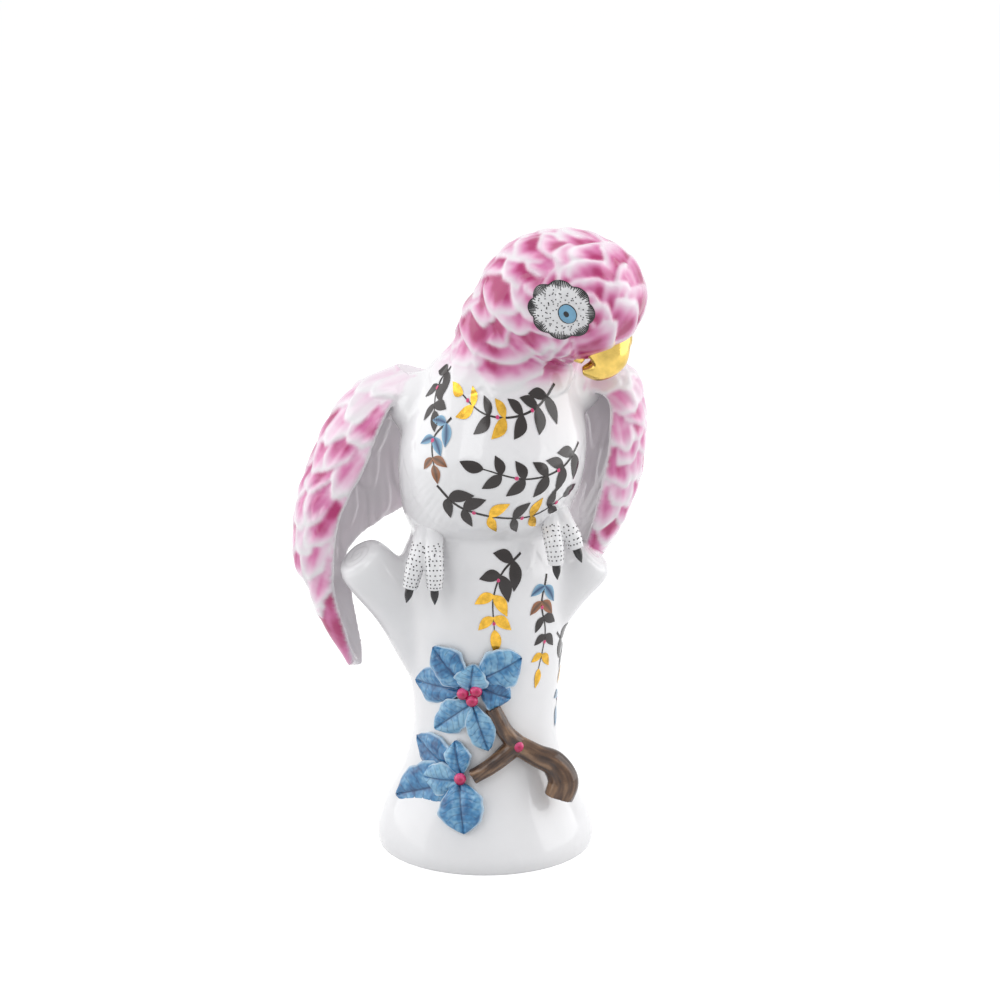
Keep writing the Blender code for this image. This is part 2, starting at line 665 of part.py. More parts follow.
def raise_relief(mesh):
    """Moves the skin out by the plumage relief, and returns how far along a feather each point lies."""
    points, _ = as_form(mesh)
    normals = np.zeros(len(points) * 3)
    mesh.vertices.foreach_get("normal", normals)
    normals = normals.reshape(-1, 3)
    height, along = lay_feathers(points, normals, plumage(), FEATHER_STEP)
    height += tail_grooves(points) + eye_bulge(points)
    points = points + normals * height[:, None]
    mesh.vertices.foreach_set("co", points.ravel())
    mesh.update()
    return along


# Colour


def paint(obj, groups):
    """Gives each face the colour of the applied form it lies on, or of the plumage."""
    names = list(COLOURS)
    for name in names:
        colour, metallic, roughness = COLOURS[name]
        material = bpy.data.materials.new(name)
        material.use_nodes = True
        shader = material.node_tree.nodes["Principled BSDF"]
        shader.inputs["Base Color"].default_value = (*colour, 1)
        shader.inputs["Metallic"].default_value = metallic
        shader.inputs["Roughness"].default_value = roughness
        obj.data.materials.append(material)
    trees = [
        (names.index(name), BVHTree.FromPolygons(points.tolist(), faces), reach)
        for name, forms, reach in groups
        for points, faces in forms
    ]
    for face in obj.data.polygons:
        for index, tree, reach in trees:
            if tree.find_nearest(face.center, reach)[0] is not None:
                face.material_index = index
                break


# Casting


def cavity():
    """The hollow left by the slip: the stump and body, a wall's thickness in, without their branches."""
    stump, body = stump_sections(), body_sections()
    z, x, y, half_width, half_depth = stump[2]
    sections = [(FLOOR, x, y, half_width - WALL * 1.8, half_depth - WALL * 1.8)]
    for z, x, y, half_width, half_depth in stump[3:-3] + [stump[-2]] + body[3:8]:
        sections.append((z, x, y, half_width - WALL, half_depth - WALL))
    z, x, y, half_width, half_depth = sections[-1]
    sections.append((z + WALL, x, y, half_width * 0.4, half_depth * 0.4))
    return stacked(sections, count=26, around=20)


def cutter(name, mesh):
    """A hidden cutter."""
    obj = bpy.data.objects.new(name, mesh)
    bpy.context.scene.collection.objects.link(obj)
    obj.hide_render = True
    obj.display_type = "WIRE"
    return obj


def vent_mesh():
    """The plug that opens the cavity through the floor."""
    shape = bmesh.new()
    place = Matrix.Translation(Vector((0, VENT_SETBACK, 0)))
    bmesh.ops.create_cone(
        shape,
        cap_ends=True,
        segments=24,
        radius1=VENT_RADIUS,
        radius2=VENT_RADIUS,
        depth=2 * FLOOR + 0.012,
        matrix=place,
    )
    mesh = bpy.data.meshes.new("vent")
    shape.to_mesh(mesh)
    shape.free()
    return mesh


def ground_mesh():
    """The block below the floor plane that leaves the underside flat."""
    shape = bmesh.new()
    size = 4 * BASE_RADIUS
    bmesh.ops.create_cube(shape, size=size, matrix=Matrix.Translation(Vector((0, 0, -size / 2))))
    mesh = bpy.data.meshes.new("ground")
    shape.to_mesh(mesh)
    shape.free()
    return mesh


def cut(obj, tool):
    """Takes the cutter's shape out of the object."""
    boolean = obj.modifiers.new(tool.name, "BOOLEAN")
    boolean.operation = "DIFFERENCE"
    boolean.solver = "EXACT"
    boolean.object = tool


def thigh(side, x, y, z):
    """The feathered thigh between belly and foot."""
    axes = [
        np.array([THIGH_RADIUS, 0, 0]),
        np.array([0, THIGH_RADIUS, 0]),
        np.array([side * 0.001, -0.003, 1.3 * THIGH_RADIUS]),
    ]
    return ellipsoid((x, y, STUMP_HEIGHT + z), axes, around=24)


def build():
    """The whole figurine as one object."""
    mass = [stacked(stump_sections()), stacked(body_sections()), head()]
    mass += [stub(*points) for points in placed(STUBS)]
    mass += [thigh(-1, -0.0205, -0.0120, 0.014), thigh(1, 0.0240, -0.0130, 0.018)]
    mass += [
        ellipsoid((-0.0260, 0.000, STUMP_HEIGHT + 0.056), np.diag(SHOULDER_SHAPE) * SHOULDER_RADIUS),
        ellipsoid((0.0360, 0.004, STUMP_HEIGHT + 0.063), np.diag(SHOULDER_SHAPE) * SHOULDER_RADIUS * 0.9),
    ]
    soft = fused(mass, VOXEL * 1.4, 12)

    toes = [toe(points) for points in TOES]
    claws = [pair[1] for pair in toes]
    leaves = [leaf(*row) for row in LEAVES]
    berries = [berry(*row) for row in BERRIES]
    wings = [wing(LEFT_WING, -1), wing(RIGHT_WING, 1)]
    applied = wings + [tail()] + beak() + [pair[0] for pair in toes] + claws
    applied += twig() + leaves + berries
    skin = fused([as_form(soft)] + applied, VOXEL, 2)
    raise_relief(skin)

    figurine = bpy.data.objects.new("parrot_figurine", skin)
    bpy.context.scene.collection.objects.link(figurine)
    thin = figurine.modifiers.new("thin_out", "DECIMATE")
    triangles = sum(len(f.vertices) - 2 for f in skin.polygons)
    thin.ratio = min(1.0, SKIN_TRIANGLES / triangles)
    thin.use_collapse_triangulate = True
    mesh = evaluated(figurine)
    figurine = bpy.data.objects.new("parrot_figurine", mesh)
    bpy.context.scene.collection.objects.link(figurine)
    mesh.shade_smooth()

    paint(
        figurine,
        [
            ("berry_red", berries, 0.0007),
            ("blue_leaf", leaves, 0.0006),
            ("brown_bark", twig(), 0.0006),
            ("gold_lustre", beak(), 0.0006),
            ("black_claw", claws, 0.0005),
            ("pink_plumage", wings + [tail(), head()], 0.0022),
        ],
    )

    for name, mesh in (
        ("cavity", mesh_from([cavity()], "cavity")),
        ("vent", vent_mesh()),
        ("ground", ground_mesh()),
    ):
        cut(figurine, cutter(name, mesh))


for old in list(bpy.data.objects):
    bpy.data.objects.remove(old)
build()
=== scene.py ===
"""Looks of the porcelain parrot: fine skins, plumage paint, gold, relief foliage and printed sprigs."""

import math

import bmesh
import bpy
import numpy as np
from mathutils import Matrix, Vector, noise
from mathutils.bvhtree import BVHTree


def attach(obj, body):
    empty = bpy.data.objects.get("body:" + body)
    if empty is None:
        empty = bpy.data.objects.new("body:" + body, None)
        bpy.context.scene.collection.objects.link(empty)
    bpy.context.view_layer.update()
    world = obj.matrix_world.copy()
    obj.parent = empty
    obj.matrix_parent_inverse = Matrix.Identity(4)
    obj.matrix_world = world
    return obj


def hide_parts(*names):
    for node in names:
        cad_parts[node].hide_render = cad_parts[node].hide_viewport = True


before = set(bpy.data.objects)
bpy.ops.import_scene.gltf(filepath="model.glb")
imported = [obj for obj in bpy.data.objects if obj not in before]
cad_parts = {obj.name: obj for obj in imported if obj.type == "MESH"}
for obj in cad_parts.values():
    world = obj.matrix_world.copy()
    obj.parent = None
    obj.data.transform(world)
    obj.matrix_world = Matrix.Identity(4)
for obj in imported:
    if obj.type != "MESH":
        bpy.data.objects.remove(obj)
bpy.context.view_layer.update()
NODE = "parrot_figurine"

# Driving dimensions, as in the part
BASE_RADIUS = 0.0455
BASE_EDGE = 0.006
BASE_HEIGHT = 0.034
WAIST_RADIUS = 0.0300
WAIST_HEIGHT = 0.056
STUMP_TOP_RADIUS = 0.0330
STUMP_HEIGHT = 0.131
CREASE_RADIUS = 0.0270
STUB_RADIUS = 0.0115
STUB_ROOT_RADIUS = 0.0145
BODY_HEIGHT = 0.062
BODY_HALF_WIDTH = 0.0375
BODY_HALF_DEPTH = 0.0375
NECK_RADIUS = 0.0262
NECK_HEIGHT = 0.030
SHOULDER_RADIUS = 0.0130
SHOULDER_SHAPE = (1.05, 1.25, 1.0)
THIGH_RADIUS = 0.0110
HEAD_LENGTH = 0.0650
HEAD_HEIGHT = 0.0512
HEAD_WIDTH = 0.0540
HEAD_RAKE = math.radians(1)
HEAD_RISE = 0.0112
BEAK_DEPTH = 0.0245
BEAK_WIDTH = 0.0170
BEAK_LENGTH = 0.0105
MANDIBLE_RADIUS = 0.0033
WING_THICKNESS = 0.0046
WING_LENGTH = 0.1500
TAIL_HALF_WIDTH = 0.0240
TAIL_THICKNESS = 0.0060
TAIL_LENGTH = 0.0900
TOE_RADIUS = 0.0038
CLAW_LENGTH = 0.0035
TWIG_RADIUS = 0.0036
LEAF_THICKNESS = 0.0024
LEAF_LIFT = 0.0030
BERRY_RADIUS = 0.0025
BERRY_LIFT = 0.0052
VENT_RADIUS = 0.0070
VENT_SETBACK = 0.0115
WALL = 0.0055
FLOOR = 0.0065
EYE_RADIUS = 0.0038
EYE_BULGE = 0.0008
EYE_LEAN = math.radians(84.5)
UNDERSIDE_RADIUS = 0.0400

# Relief and paint
FEATHER_STEP = 0.0011
RIM_SOFT = 0.0012
FEATHER_WIDTH = 0.0125
CREST_ROW = math.radians(18.5)
CREST_SPREAD = math.radians(33)
CREST_FEATHER = 0.0210
HEAD_LOCK_WIDTH = 0.0235
NECK_ROW = 0.0090
LEFT_COVERT = 0.0105
RIGHT_COVERT = 0.0078
COVERT_GROWTH = 1.05
COVERT_WIDTH = 0.0115
FLIGHT_START = 0.60
FEATHER_DEPTH = 0.0105
LONG_FEATHER_DEPTH = 0.022
NECK_PAINT_FADE = (0.197, 0.213)
PAINT_LIFT = 0.00012
STEM_WIDTH = 0.0009
LEAF_BREADTH = 0.50
BUD_RADIUS = 0.0008
PATCH_SCALLOPS = 8
PATCH_LONG = 0.0130
PATCH_SHORT = 0.0110
PATCH_STROKES = 120
PATCH_SPECKS = 110
SPECK_RADIUS = 0.00026
EYE_LINE = (0.0041, 0.0034)
IRIS_HALVES = (0.0037, 0.0030)
PUPIL_HALVES = (0.0012, 0.00095)
WRAP_CENTRE = np.array([0.003, -0.004, 0])
TENTHS = 10000

RING_DEPTH = 0.00035
RING_PITCH = 0.0034
BARK_WAVE = 0.0005
BARK_FOOT = (0.012, 0.03)
BARK_TOP = (0.118, 0.128)
DOT_PITCH = 0.00165
DOT_RADIUS = 0.00031
DOTS_AROUND = 13
DOT_TOPS = (0.1365, 0.1365, 0.1440, 0.1440)

# Fineness
SOFT_VOXEL = 0.0014
SKIN_VOXEL = 0.00078
SMALL_VOXEL = 0.00045
WING_ROWS, WING_COLUMNS = 120, 72
SKIN_REACH = 0.0016

# Seams between the five skin pieces
PERCH_SEAM = 0.132
NECK_SEAM, NECK_SEAM_SLOPE = 0.204, 0.2
LEFT_SEAM, LEFT_FOOT = -0.036, 0.070
RIGHT_SEAM, RIGHT_FOOT, RIGHT_TOP = 0.041, 0.090, 0.208


# Colours


def linear(red, green, blue):
    """A colour written in 0 to 255 as the eye reads it, turned into the renderer's own scale."""
    share = np.array([red, green, blue]) / 255.0
    return np.where(share <= 0.04045, share / 12.92, ((share + 0.055) / 1.055) ** 2.4)


WHITE = linear(240, 239, 240)
BLUSH = linear(238, 205, 224)
PINK = linear(219, 122, 174)
MAGENTA = linear(176, 34, 104)
LILAC = linear(244, 234, 240)
LEAF_LIGHT = linear(142, 192, 222)
LEAF_BLUE = linear(72, 140, 190)
LEAF_DEEP = linear(34, 88, 138)
LEAF_VEIN = linear(26, 62, 108)
TWIG_LIGHT = linear(150, 116, 86)
TWIG_BROWN = linear(94, 66, 46)
TWIG_DARK = linear(52, 34, 28)
PRINT_DARK = linear(34, 25, 24)
GOLD = linear(230, 196, 106)
LEAF_GOLD = linear(234, 184, 74)
RAW_CLAY = linear(226, 222, 216)
AUTUMN = linear(176, 112, 72)
LEAF_RIM = linear(206, 227, 241)
BERRY = linear(205, 28, 98)
BERRY_DEEP = linear(150, 12, 60)
BERRY_LIGHT = linear(232, 84, 140)
IRIS = linear(128, 186, 220)
INK = linear(22, 20, 24)


def blend_stops(share, stops):
    """Colour at each share of 0 to 1, from (share, colour) stops."""
    places = [place for place, _ in stops]
    table = np.array([colour for _, colour in stops])
    return np.stack([np.interp(share, places, table[:, k]) for k in range(3)], axis=-1)


def smoothstep(value, low, high):
    """0 below low, 1 above high and a soft slope between."""
    t = np.clip((value - low) / (high - low), 0, 1)
    return t * t * (3 - 2 * t)


def grain(points, size, seed=0.0):
    """Soft noise of about -1 to 1 at each point, with blotches of the given size."""
    shift = Vector((seed, 1.7 * seed, 2.3 * seed))
    return np.array([noise.noise(Vector(p) / size + shift) for p in points.tolist()])


# Curves and sections


def unit(vectors):
    """A vector, or each row of several, scaled to a length of 1."""
    lengths = np.linalg.norm(vectors) if vectors.ndim == 1 else np.linalg.norm(vectors, axis=1)[:, None]
    return vectors / lengths


def tangents_along(path):
    """Unit directions along a path at each of its points."""
    return unit(np.gradient(path, axis=0))


def round_angles(count):
    """Equal steps all the way round."""
    return np.linspace(0, 2 * math.pi, count, endpoint=False)


def flat_turn(angle):
    """The turn of a flat pattern by an angle."""
    return np.array([[math.cos(angle), math.sin(angle)], [-math.sin(angle), math.cos(angle)]])


def smooth_rows(rows, count):
    """Rows on a Catmull-Rom curve through the given rows, evenly spread between them."""
    rows = np.asarray(rows, float)
    padded = np.vstack([2 * rows[0] - rows[1], rows, 2 * rows[-1] - rows[-2]])
    places = np.linspace(0, len(rows) - 1, count)
    start = np.minimum(places.astype(int), len(rows) - 2)
    t = (places - start)[:, None]
    a, b, c, d = (padded[start + k] for k in range(4))
    return 0.5 * (
        2 * b + (c - a) * t + (2 * a - 5 * b + 4 * c - d) * t**2 + (3 * b - a - 3 * c + d) * t**3
    )


def ring_faces(rings, around):
    """Quads between closed rings of points that follow each other."""
    faces = []
    for i in range(rings - 1):
        for j in range(around):
            k = (j + 1) % around
            faces.append((i * around + j, i * around + k, (i + 1) * around + k, (i + 1) * around + j))
    return faces


def bridge_rings(rings):
    """A closed form from equal rings of points, with a fan at each end."""
    rings = np.asarray(rings, float)
    count, around = rings.shape[:2]
    points = np.vstack([rings.reshape(-1, 3), rings[0].mean(0), rings[-1].mean(0)])
    faces = ring_faces(count, around)
    first_tip, last_tip = count * around, count * around + 1
    last = (count - 1) * around
    for j in range(around):
        k = (j + 1) % around
        faces.append((k, j, first_tip))
        faces.append((last + j, last + k, last_tip))
    return points, faces


def stacked(sections, count=60, around=64):
    """A form from level sections, each (height, centre x, centre y, half width, half depth)."""
    angles = round_angles(around)
    rings = []
    for z, x, y, half_width, half_depth in smooth_rows(sections, count):
        half_width, half_depth = max(half_width, 1e-4), max(half_depth, 1e-4)
        rings.append([(x + half_width * math.cos(a), y + half_depth * math.sin(a), z) for a in angles])
    return bridge_rings(rings)


def tube(stations, across=(0, -1, 0), count=24, around=24):
    """A tube through stations of (x, y, z, radius in its own plane, radius across)."""
    rows = smooth_rows(stations, count)
    path = rows[:, :3]
    angles = round_angles(around)
    rings = []
    for point, tangent, row in zip(path, tangents_along(path), rows):
        side = unit(np.asarray(across, float) - np.dot(across, tangent) * tangent)
        flat = np.cross(side, tangent)
        in_plane, lateral = max(row[3], 2e-4), max(row[4], 2e-4)
        rings.append(
            [point + in_plane * math.cos(a) * flat + lateral * math.sin(a) * side for a in angles]
        )
    return bridge_rings(rings)


def ellipsoid(centre, axes, around=48):
    """An ellipsoid from its centre and three half axes."""
    shape = bmesh.new()
    bmesh.ops.create_uvsphere(shape, u_segments=around, v_segments=around // 2, radius=1.0)
    points = np.array([v.co for v in shape.verts]) @ np.array(axes, float) + np.asarray(centre, float)
    faces = [tuple(v.index for v in f.verts) for f in shape.faces]
    shape.free()
    return points, faces


def sheet(middle, normals, thickness):
    """A closed sheet of the given thickness on both sides of a grid of points."""
    rows, columns = middle.shape[:2]
    offset = normals * thickness[..., None] / 2
    points = np.vstack([(middle + offset).reshape(-1, 3), (middle - offset).reshape(-1, 3)])
    back = rows * columns
    index = np.arange(rows * columns).reshape(rows, columns)
    a, b, c, d = index[:-1, :-1], index[:-1, 1:], index[1:, 1:], index[1:, :-1]
    front = np.stack([a, b, c, d], -1).reshape(-1, 4)
    border = list(index[0]) + list(index[1:, -1]) + list(index[-1, -2::-1]) + list(index[-2:0:-1, 0])
    rim = [(b, a, back + a, back + b) for a, b in zip(border, border[1:] + border[:1])]
    faces = front.tolist() + (front[:, ::-1] + back).tolist() + rim
    return points, faces


def grid_normals(middle):
    """Unit normals of a grid of points."""
    normals = np.cross(np.gradient(middle, axis=0), np.gradient(middle, axis=1))
    return normals / np.maximum(np.linalg.norm(normals, axis=2), 1e-12)[..., None]


# Forms of the stump


def stump_sections():
    """Level sections of the stump, from under the floor plane to the perch."""
    return [
        (-0.006, 0, 0, BASE_RADIUS * 0.93, BASE_RADIUS * 0.93),
        (0.0, 0, 0, BASE_RADIUS * 0.985, BASE_RADIUS * 0.985),
        (BASE_EDGE, 0, 0, BASE_RADIUS, BASE_RADIUS),
        (BASE_HEIGHT * 0.55, -0.0005, 0, BASE_RADIUS * 0.91, BASE_RADIUS * 0.91),
        (BASE_HEIGHT, -0.0005, 0, WAIST_RADIUS * 1.13, WAIST_RADIUS * 1.13),
        (WAIST_HEIGHT, 0, 0, WAIST_RADIUS, WAIST_RADIUS),
        (0.5 * (WAIST_HEIGHT + STUMP_HEIGHT), 0, 0, STUMP_TOP_RADIUS, WAIST_RADIUS * 1.02),
        (STUMP_HEIGHT - 0.012, 0, 0, STUMP_TOP_RADIUS * 1.05, WAIST_RADIUS * 1.03),
        (STUMP_HEIGHT, 0, 0, STUMP_TOP_RADIUS * 0.94, WAIST_RADIUS * 0.96),
        (STUMP_HEIGHT + 0.008, 0, 0, CREASE_RADIUS, CREASE_RADIUS),
        (STUMP_HEIGHT + 0.014, 0, 0, CREASE_RADIUS * 0.70, CREASE_RADIUS * 0.70),
    ]


STUMP_ROWS = smooth_rows(stump_sections(), 200)


def stump_front(x, z):
    """How far forward the stump's front face lies at a place seen from the front."""
    _, centre, _, half_width, half_depth = (
        np.interp(z, STUMP_ROWS[:, 0], STUMP_ROWS[:, k]) for k in range(5)
    )
    share = min(abs(x - centre) / half_width, 0.97)
    return -half_depth * math.sqrt(1 - share**2)


def on_stump(x, z, proud=0.0):
    """A place on the stump's front face, standing proud of it."""
    return (x, stump_front(x, z) - proud, z)


def placed(rows):
    """Stations written in tenths of a millimetre from the perch upwards, turned into places."""
    lift = np.array([0, 0, STUMP_HEIGHT])
    return [[np.array(point) / TENTHS + lift for point in row] for row in rows]


STUBS = placed((
    ((-190, 0, -520), (-350, -50, -270), (-520, -130, -40)),
    ((150, 0, -400), (300, -15, -210), (450, -30, -60)),
))


def stub(root, middle, end):
    """A branch stub from its root inside the stump to its rounded end."""
    path = [
        (*root, STUB_ROOT_RADIUS, STUB_ROOT_RADIUS),
        (*middle, STUB_RADIUS * 1.08, STUB_RADIUS * 1.08),
        (*(0.25 * np.array(middle) + 0.75 * np.array(end)), STUB_RADIUS, STUB_RADIUS),
        (*end, STUB_RADIUS * 0.80, STUB_RADIUS * 0.80),
    ]
    return tube(path, across=(0, -1, 0.2), count=28, around=32)


# Forms of the bird


def body_sections():
    """Level sections of the body and neck, from inside the perch up into the head."""
    z = STUMP_HEIGHT
    w, d = BODY_HALF_WIDTH, BODY_HALF_DEPTH
    top = z + BODY_HEIGHT
    neck = top + NECK_HEIGHT
    return [
        (z - 0.008, 0.000, 0.006, w * 0.45, d * 0.40),
        (z + 0.002, -0.001, 0.003, w * 0.74, d * 0.70),
        (z + 0.011, 0.000, -0.002, w * 0.88, d * 0.88),
        (z + BODY_HEIGHT * 0.39, 0.002, -0.006, w * 0.98, d * 0.99),
        (z + BODY_HEIGHT * 0.60, 0.003, -0.008, w * 1.01, d * 1.00),
        (z + BODY_HEIGHT * 0.80, 0.004, -0.006, w * 0.98, d * 0.94),
        (top, 0.005, -0.003, w * 0.88, d * 0.84),
        (top + NECK_HEIGHT * 0.34, 0.0078, -0.002, NECK_RADIUS * 1.11, NECK_RADIUS * 1.05),
        (top + NECK_HEIGHT * 0.67, 0.0120, -0.006, NECK_RADIUS * 0.93, NECK_RADIUS * 0.93),
        (neck, 0.0145, -0.010, NECK_RADIUS * 0.91, NECK_RADIUS * 0.90),
        (neck + 0.009, 0.0180, -0.014, NECK_RADIUS * 0.89, NECK_RADIUS * 0.88),
        (neck + 0.016, 0.0200, -0.016, NECK_RADIUS * 0.74, NECK_RADIUS * 0.74),
    ]


HEAD_CENTRE = np.array([0.0307, -0.0200, STUMP_HEIGHT + BODY_HEIGHT + NECK_HEIGHT + HEAD_RISE])
HEAD_ALONG = np.array([math.cos(HEAD_RAKE), 0, math.sin(HEAD_RAKE)])
HEAD_OVER = np.array([-math.sin(HEAD_RAKE), 0, math.cos(HEAD_RAKE)])
HEAD_SIDE = np.array([0, -1.0, 0])


def head():
    """The skull, long from the nape up to the forehead, bowed so that the beak points down."""
    axes = [HEAD_ALONG * HEAD_LENGTH / 2, HEAD_SIDE * HEAD_WIDTH / 2, HEAD_OVER * HEAD_HEIGHT / 2]
    return ellipsoid(HEAD_CENTRE, axes)


def head_point(turn, lean):
    """A place on the skull: turn runs from the beak over the crown, lean from the midline to the eye."""
    start = np.array([0.555, 0.0, -0.832])
    over = np.array([0.832, 0.0, 0.555])
    out = math.cos(lean) * (math.cos(turn) * start + math.sin(turn) * over)
    out = out + math.sin(lean) * HEAD_SIDE
    halves = (HEAD_LENGTH / 2, HEAD_HEIGHT / 2, HEAD_WIDTH / 2)
    parts = (out @ HEAD_ALONG, out @ HEAD_OVER, out @ HEAD_SIDE)
    reach = 1 / math.sqrt(sum((p / h) ** 2 for p, h in zip(parts, halves)))
    return HEAD_CENTRE + out * reach


BEAK_ROOT = HEAD_CENTRE + np.array([0.0157, -0.0050, -0.0187])


def upper_beak():
    """The hooked upper beak."""
    x, y, z = BEAK_ROOT
    deep, wide, long = BEAK_DEPTH / 2, BEAK_WIDTH / 2, BEAK_LENGTH
    return tube([
        (x, y + 0.0045, z + 0.62 * long, deep, wide * 0.95),
        (x, y, z, deep * 0.97, wide),
        (x + 0.0004, y - 0.0020, z - 0.46 * long, deep * 0.78, wide * 0.86),
        (x - 0.0022, y - 0.0025, z - 0.84 * long, deep * 0.44, wide * 0.62),
        (x - 0.0078, y - 0.0025, z - 0.93 * long, deep * 0.13, wide * 0.30),
    ], count=40, around=48)


def lower_beak():
    """The small mandible inside the hook."""
    x, y, z = BEAK_ROOT
    long = BEAK_LENGTH
    return tube([
        (x - 0.0120, y + 0.002, z + 0.30 * long, MANDIBLE_RADIUS, MANDIBLE_RADIUS * 1.4),
        (x - 0.0115, y - 0.001, z - 0.20 * long, MANDIBLE_RADIUS, MANDIBLE_RADIUS * 1.4),
        (x - 0.0070, y - 0.0015, z - 0.52 * long, MANDIBLE_RADIUS * 0.6, MANDIBLE_RADIUS),
    ], count=24, around=32)


LEFT_WING = placed([
    [(-240, -40, 640), (-340, 80, 690), (-120, 240, 600)],
    [(-360, -110, 590), (-520, 80, 585), (-220, 340, 500)],
    [(-429, -150, 473), (-630, 70, 424), (-280, 410, 340)],
    [(-481, -170, 341), (-686, 70, 285), (-310, 440, 180)],
    [(-548, -170, 205), (-728, 50, 150), (-335, 440, 40)],
    [(-594, -170, 101), (-750, 30, 30), (-470, 370, -30)],
    [(-613, -150, -47), (-755, 0, -100), (-590, 250, -130)],
    [(-624, -120, -175), (-702, -10, -200), (-570, 160, -275)],
    [(-605, -100, -275), (-675, -10, -300), (-545, 130, -400)],
    [(-575, -70, -390), (-630, 0, -410), (-525, 90, -500)],
    [(-545, -20, -530), (-545, 10, -550), (-525, 40, -560)],
])
RIGHT_WING = placed([
    [(340, -60, 640), (424, 80, 740), (200, 260, 640)],
    [(490, -90, 600), (574, 80, 660), (260, 360, 560)],
    [(505, -110, 440), (612, 90, 460), (290, 440, 400)],
    [(475, -110, 250), (596, 90, 240), (300, 460, 180)],
    [(440, -70, 80), (534, 90, 60), (300, 460, 0)],
    [(405, 10, -60), (454, 130, -90), (310, 400, -160)],
    [(350, 130, -190), (379, 210, -220), (290, 350, -270)],
    [(290, 230, -350), (289, 250, -370), (270, 280, -370)],
])


def wing_grid(stations, rows, spread):
    """The wing's middle surface at the given shares of -1 to 1 from its front rim to its trailing edge."""
    rims, outers, trails = (
        smooth_rows([station[k] for station in stations], rows) for k in range(3)
    )
    t = np.asarray(spread)[None, :, None]
    rim, outer, trail = rims[:, None, :], outers[:, None, :], trails[:, None, :]
    return rim * t * (t - 1) / 2 + outer * (1 - t**2) + trail * t * (t + 1) / 2


def outward_normals(middle, outward):
    """Normals of a wing's middle surface on its outer side, -1 for the left wing and 1 for the right."""
    normals = grid_normals(middle)
    return -normals if np.sum(normals[..., 0]) * outward < 0 else normals


def wing(stations, outward):
    """A cupped wing, thickest along its middle and thin at its rims."""
    across = np.linspace(-1, 1, WING_COLUMNS)
    middle = wing_grid(stations, WING_ROWS, across)
    along = np.linspace(0, 1, WING_ROWS)[:, None]
    thickness = WING_THICKNESS * (1 - 0.45 * across[None, :] ** 4) * (1 - 0.35 * along**3)
    return sheet(middle, outward_normals(middle, outward), thickness)


def tail():
    """The tail hangs behind the stump and leans on it."""
    root_z = STUMP_HEIGHT + 0.012
    back = WAIST_RADIUS
    half = TAIL_HALF_WIDTH
    return tube([
        (-0.001, back - 0.010, root_z, half * 0.75, TAIL_THICKNESS),
        (-0.003, back + 0.003, root_z - 0.24 * TAIL_LENGTH, half * 1.05, TAIL_THICKNESS * 0.7),
        (-0.004, back + 0.005, root_z - 0.52 * TAIL_LENGTH, half * 1.0, TAIL_THICKNESS * 0.6),
        (-0.004, back + 0.002, root_z - 0.80 * TAIL_LENGTH, half * 0.72, TAIL_THICKNESS * 0.5),
        (-0.004, back + 0.001, root_z - TAIL_LENGTH, half * 0.22, TAIL_THICKNESS * 0.35),
    ], across=(0, 1, 0), count=60, around=64)


TOES = placed([
    [(-230, -170, 90), (-255, -280, 30), (-280, -320, -45), (-300, -325, -130)],
    [(-210, -180, 90), (-205, -295, 30), (-200, -340, -50), (-200, -345, -130)],
    [(265, -180, 160), (270, -285, 100), (280, -325, 40), (286, -330, -30)],
    [(285, -170, 170), (320, -250, 120), (350, -280, 75), (368, -285, 25)],
])


def toe(points):
    """One toe from the shin over the edge of the perch."""
    stations = [(*p, TOE_RADIUS * s, TOE_RADIUS * s) for p, s in zip(points, (1.25, 1.08, 1.0, 0.80))]
    return tube(stations, across=(1, 0, 0), count=30, around=24)


def claw(points):
    """The claw at the end of a toe."""
    tip = np.array(points[-1])
    down = unit(tip - np.array(points[-2]))
    end = tip + down * (CLAW_LENGTH + 0.75 * TOE_RADIUS) + np.array([0, 0.0008, 0])
    start = tip - down * 0.0006 + np.array([0, -0.0006, 0])
    middle = 0.5 * (start + end) + np.array([0, -0.0006, 0])
    r = TOE_RADIUS
    stations = [(*start, r * 0.34, r * 0.46), (*middle, r * 0.34, r * 0.40), (*end, 2e-4, 2e-4)]
    return tube(stations, across=(1, 0, 0), count=14, around=20)


def thigh(side, x, y, z):
    """The feathered thigh between belly and foot."""
    axes = [
        np.array([THIGH_RADIUS, 0, 0]),
        np.array([0, THIGH_RADIUS, 0]),
        np.array([side * 0.001, -0.003, 1.3 * THIGH_RADIUS]),
    ]
    return ellipsoid((x, y, STUMP_HEIGHT + z), axes)


# Meshes


def mesh_from(forms, name):
    """One mesh that holds several closed forms."""
    points, faces, count = [], [], 0
    for form_points, form_faces in forms:
        points.append(form_points)
        faces += [tuple(i + count for i in face) for face in form_faces]
        count += len(form_points)
    mesh = bpy.data.meshes.new(name)
    mesh.from_pydata(np.vstack(points).tolist(), [], faces)
    mesh.update()
    return mesh


def read_points(mesh, field="co"):
    """The places or normals of a mesh's vertices."""
    values = np.zeros(len(mesh.vertices) * 3)
    mesh.vertices.foreach_get(field, values)
    return values.reshape(-1, 3)


def write_points(mesh, points):
    """Moves a mesh's vertices to the given places."""
    mesh.vertices.foreach_set("co", points.ravel())
    mesh.update()


def add_object(name, mesh):
    """A new object in the scene."""
    obj = bpy.data.objects.new(name, mesh)
    bpy.context.scene.collection.objects.link(obj)
    return obj


def evaluated(obj):
    """The object's mesh with its modifiers applied, and the object removed."""
    graph = bpy.context.evaluated_depsgraph_get()
    mesh = bpy.data.meshes.new_from_object(obj.evaluated_get(graph))
    bpy.data.objects.remove(obj)
    return mesh


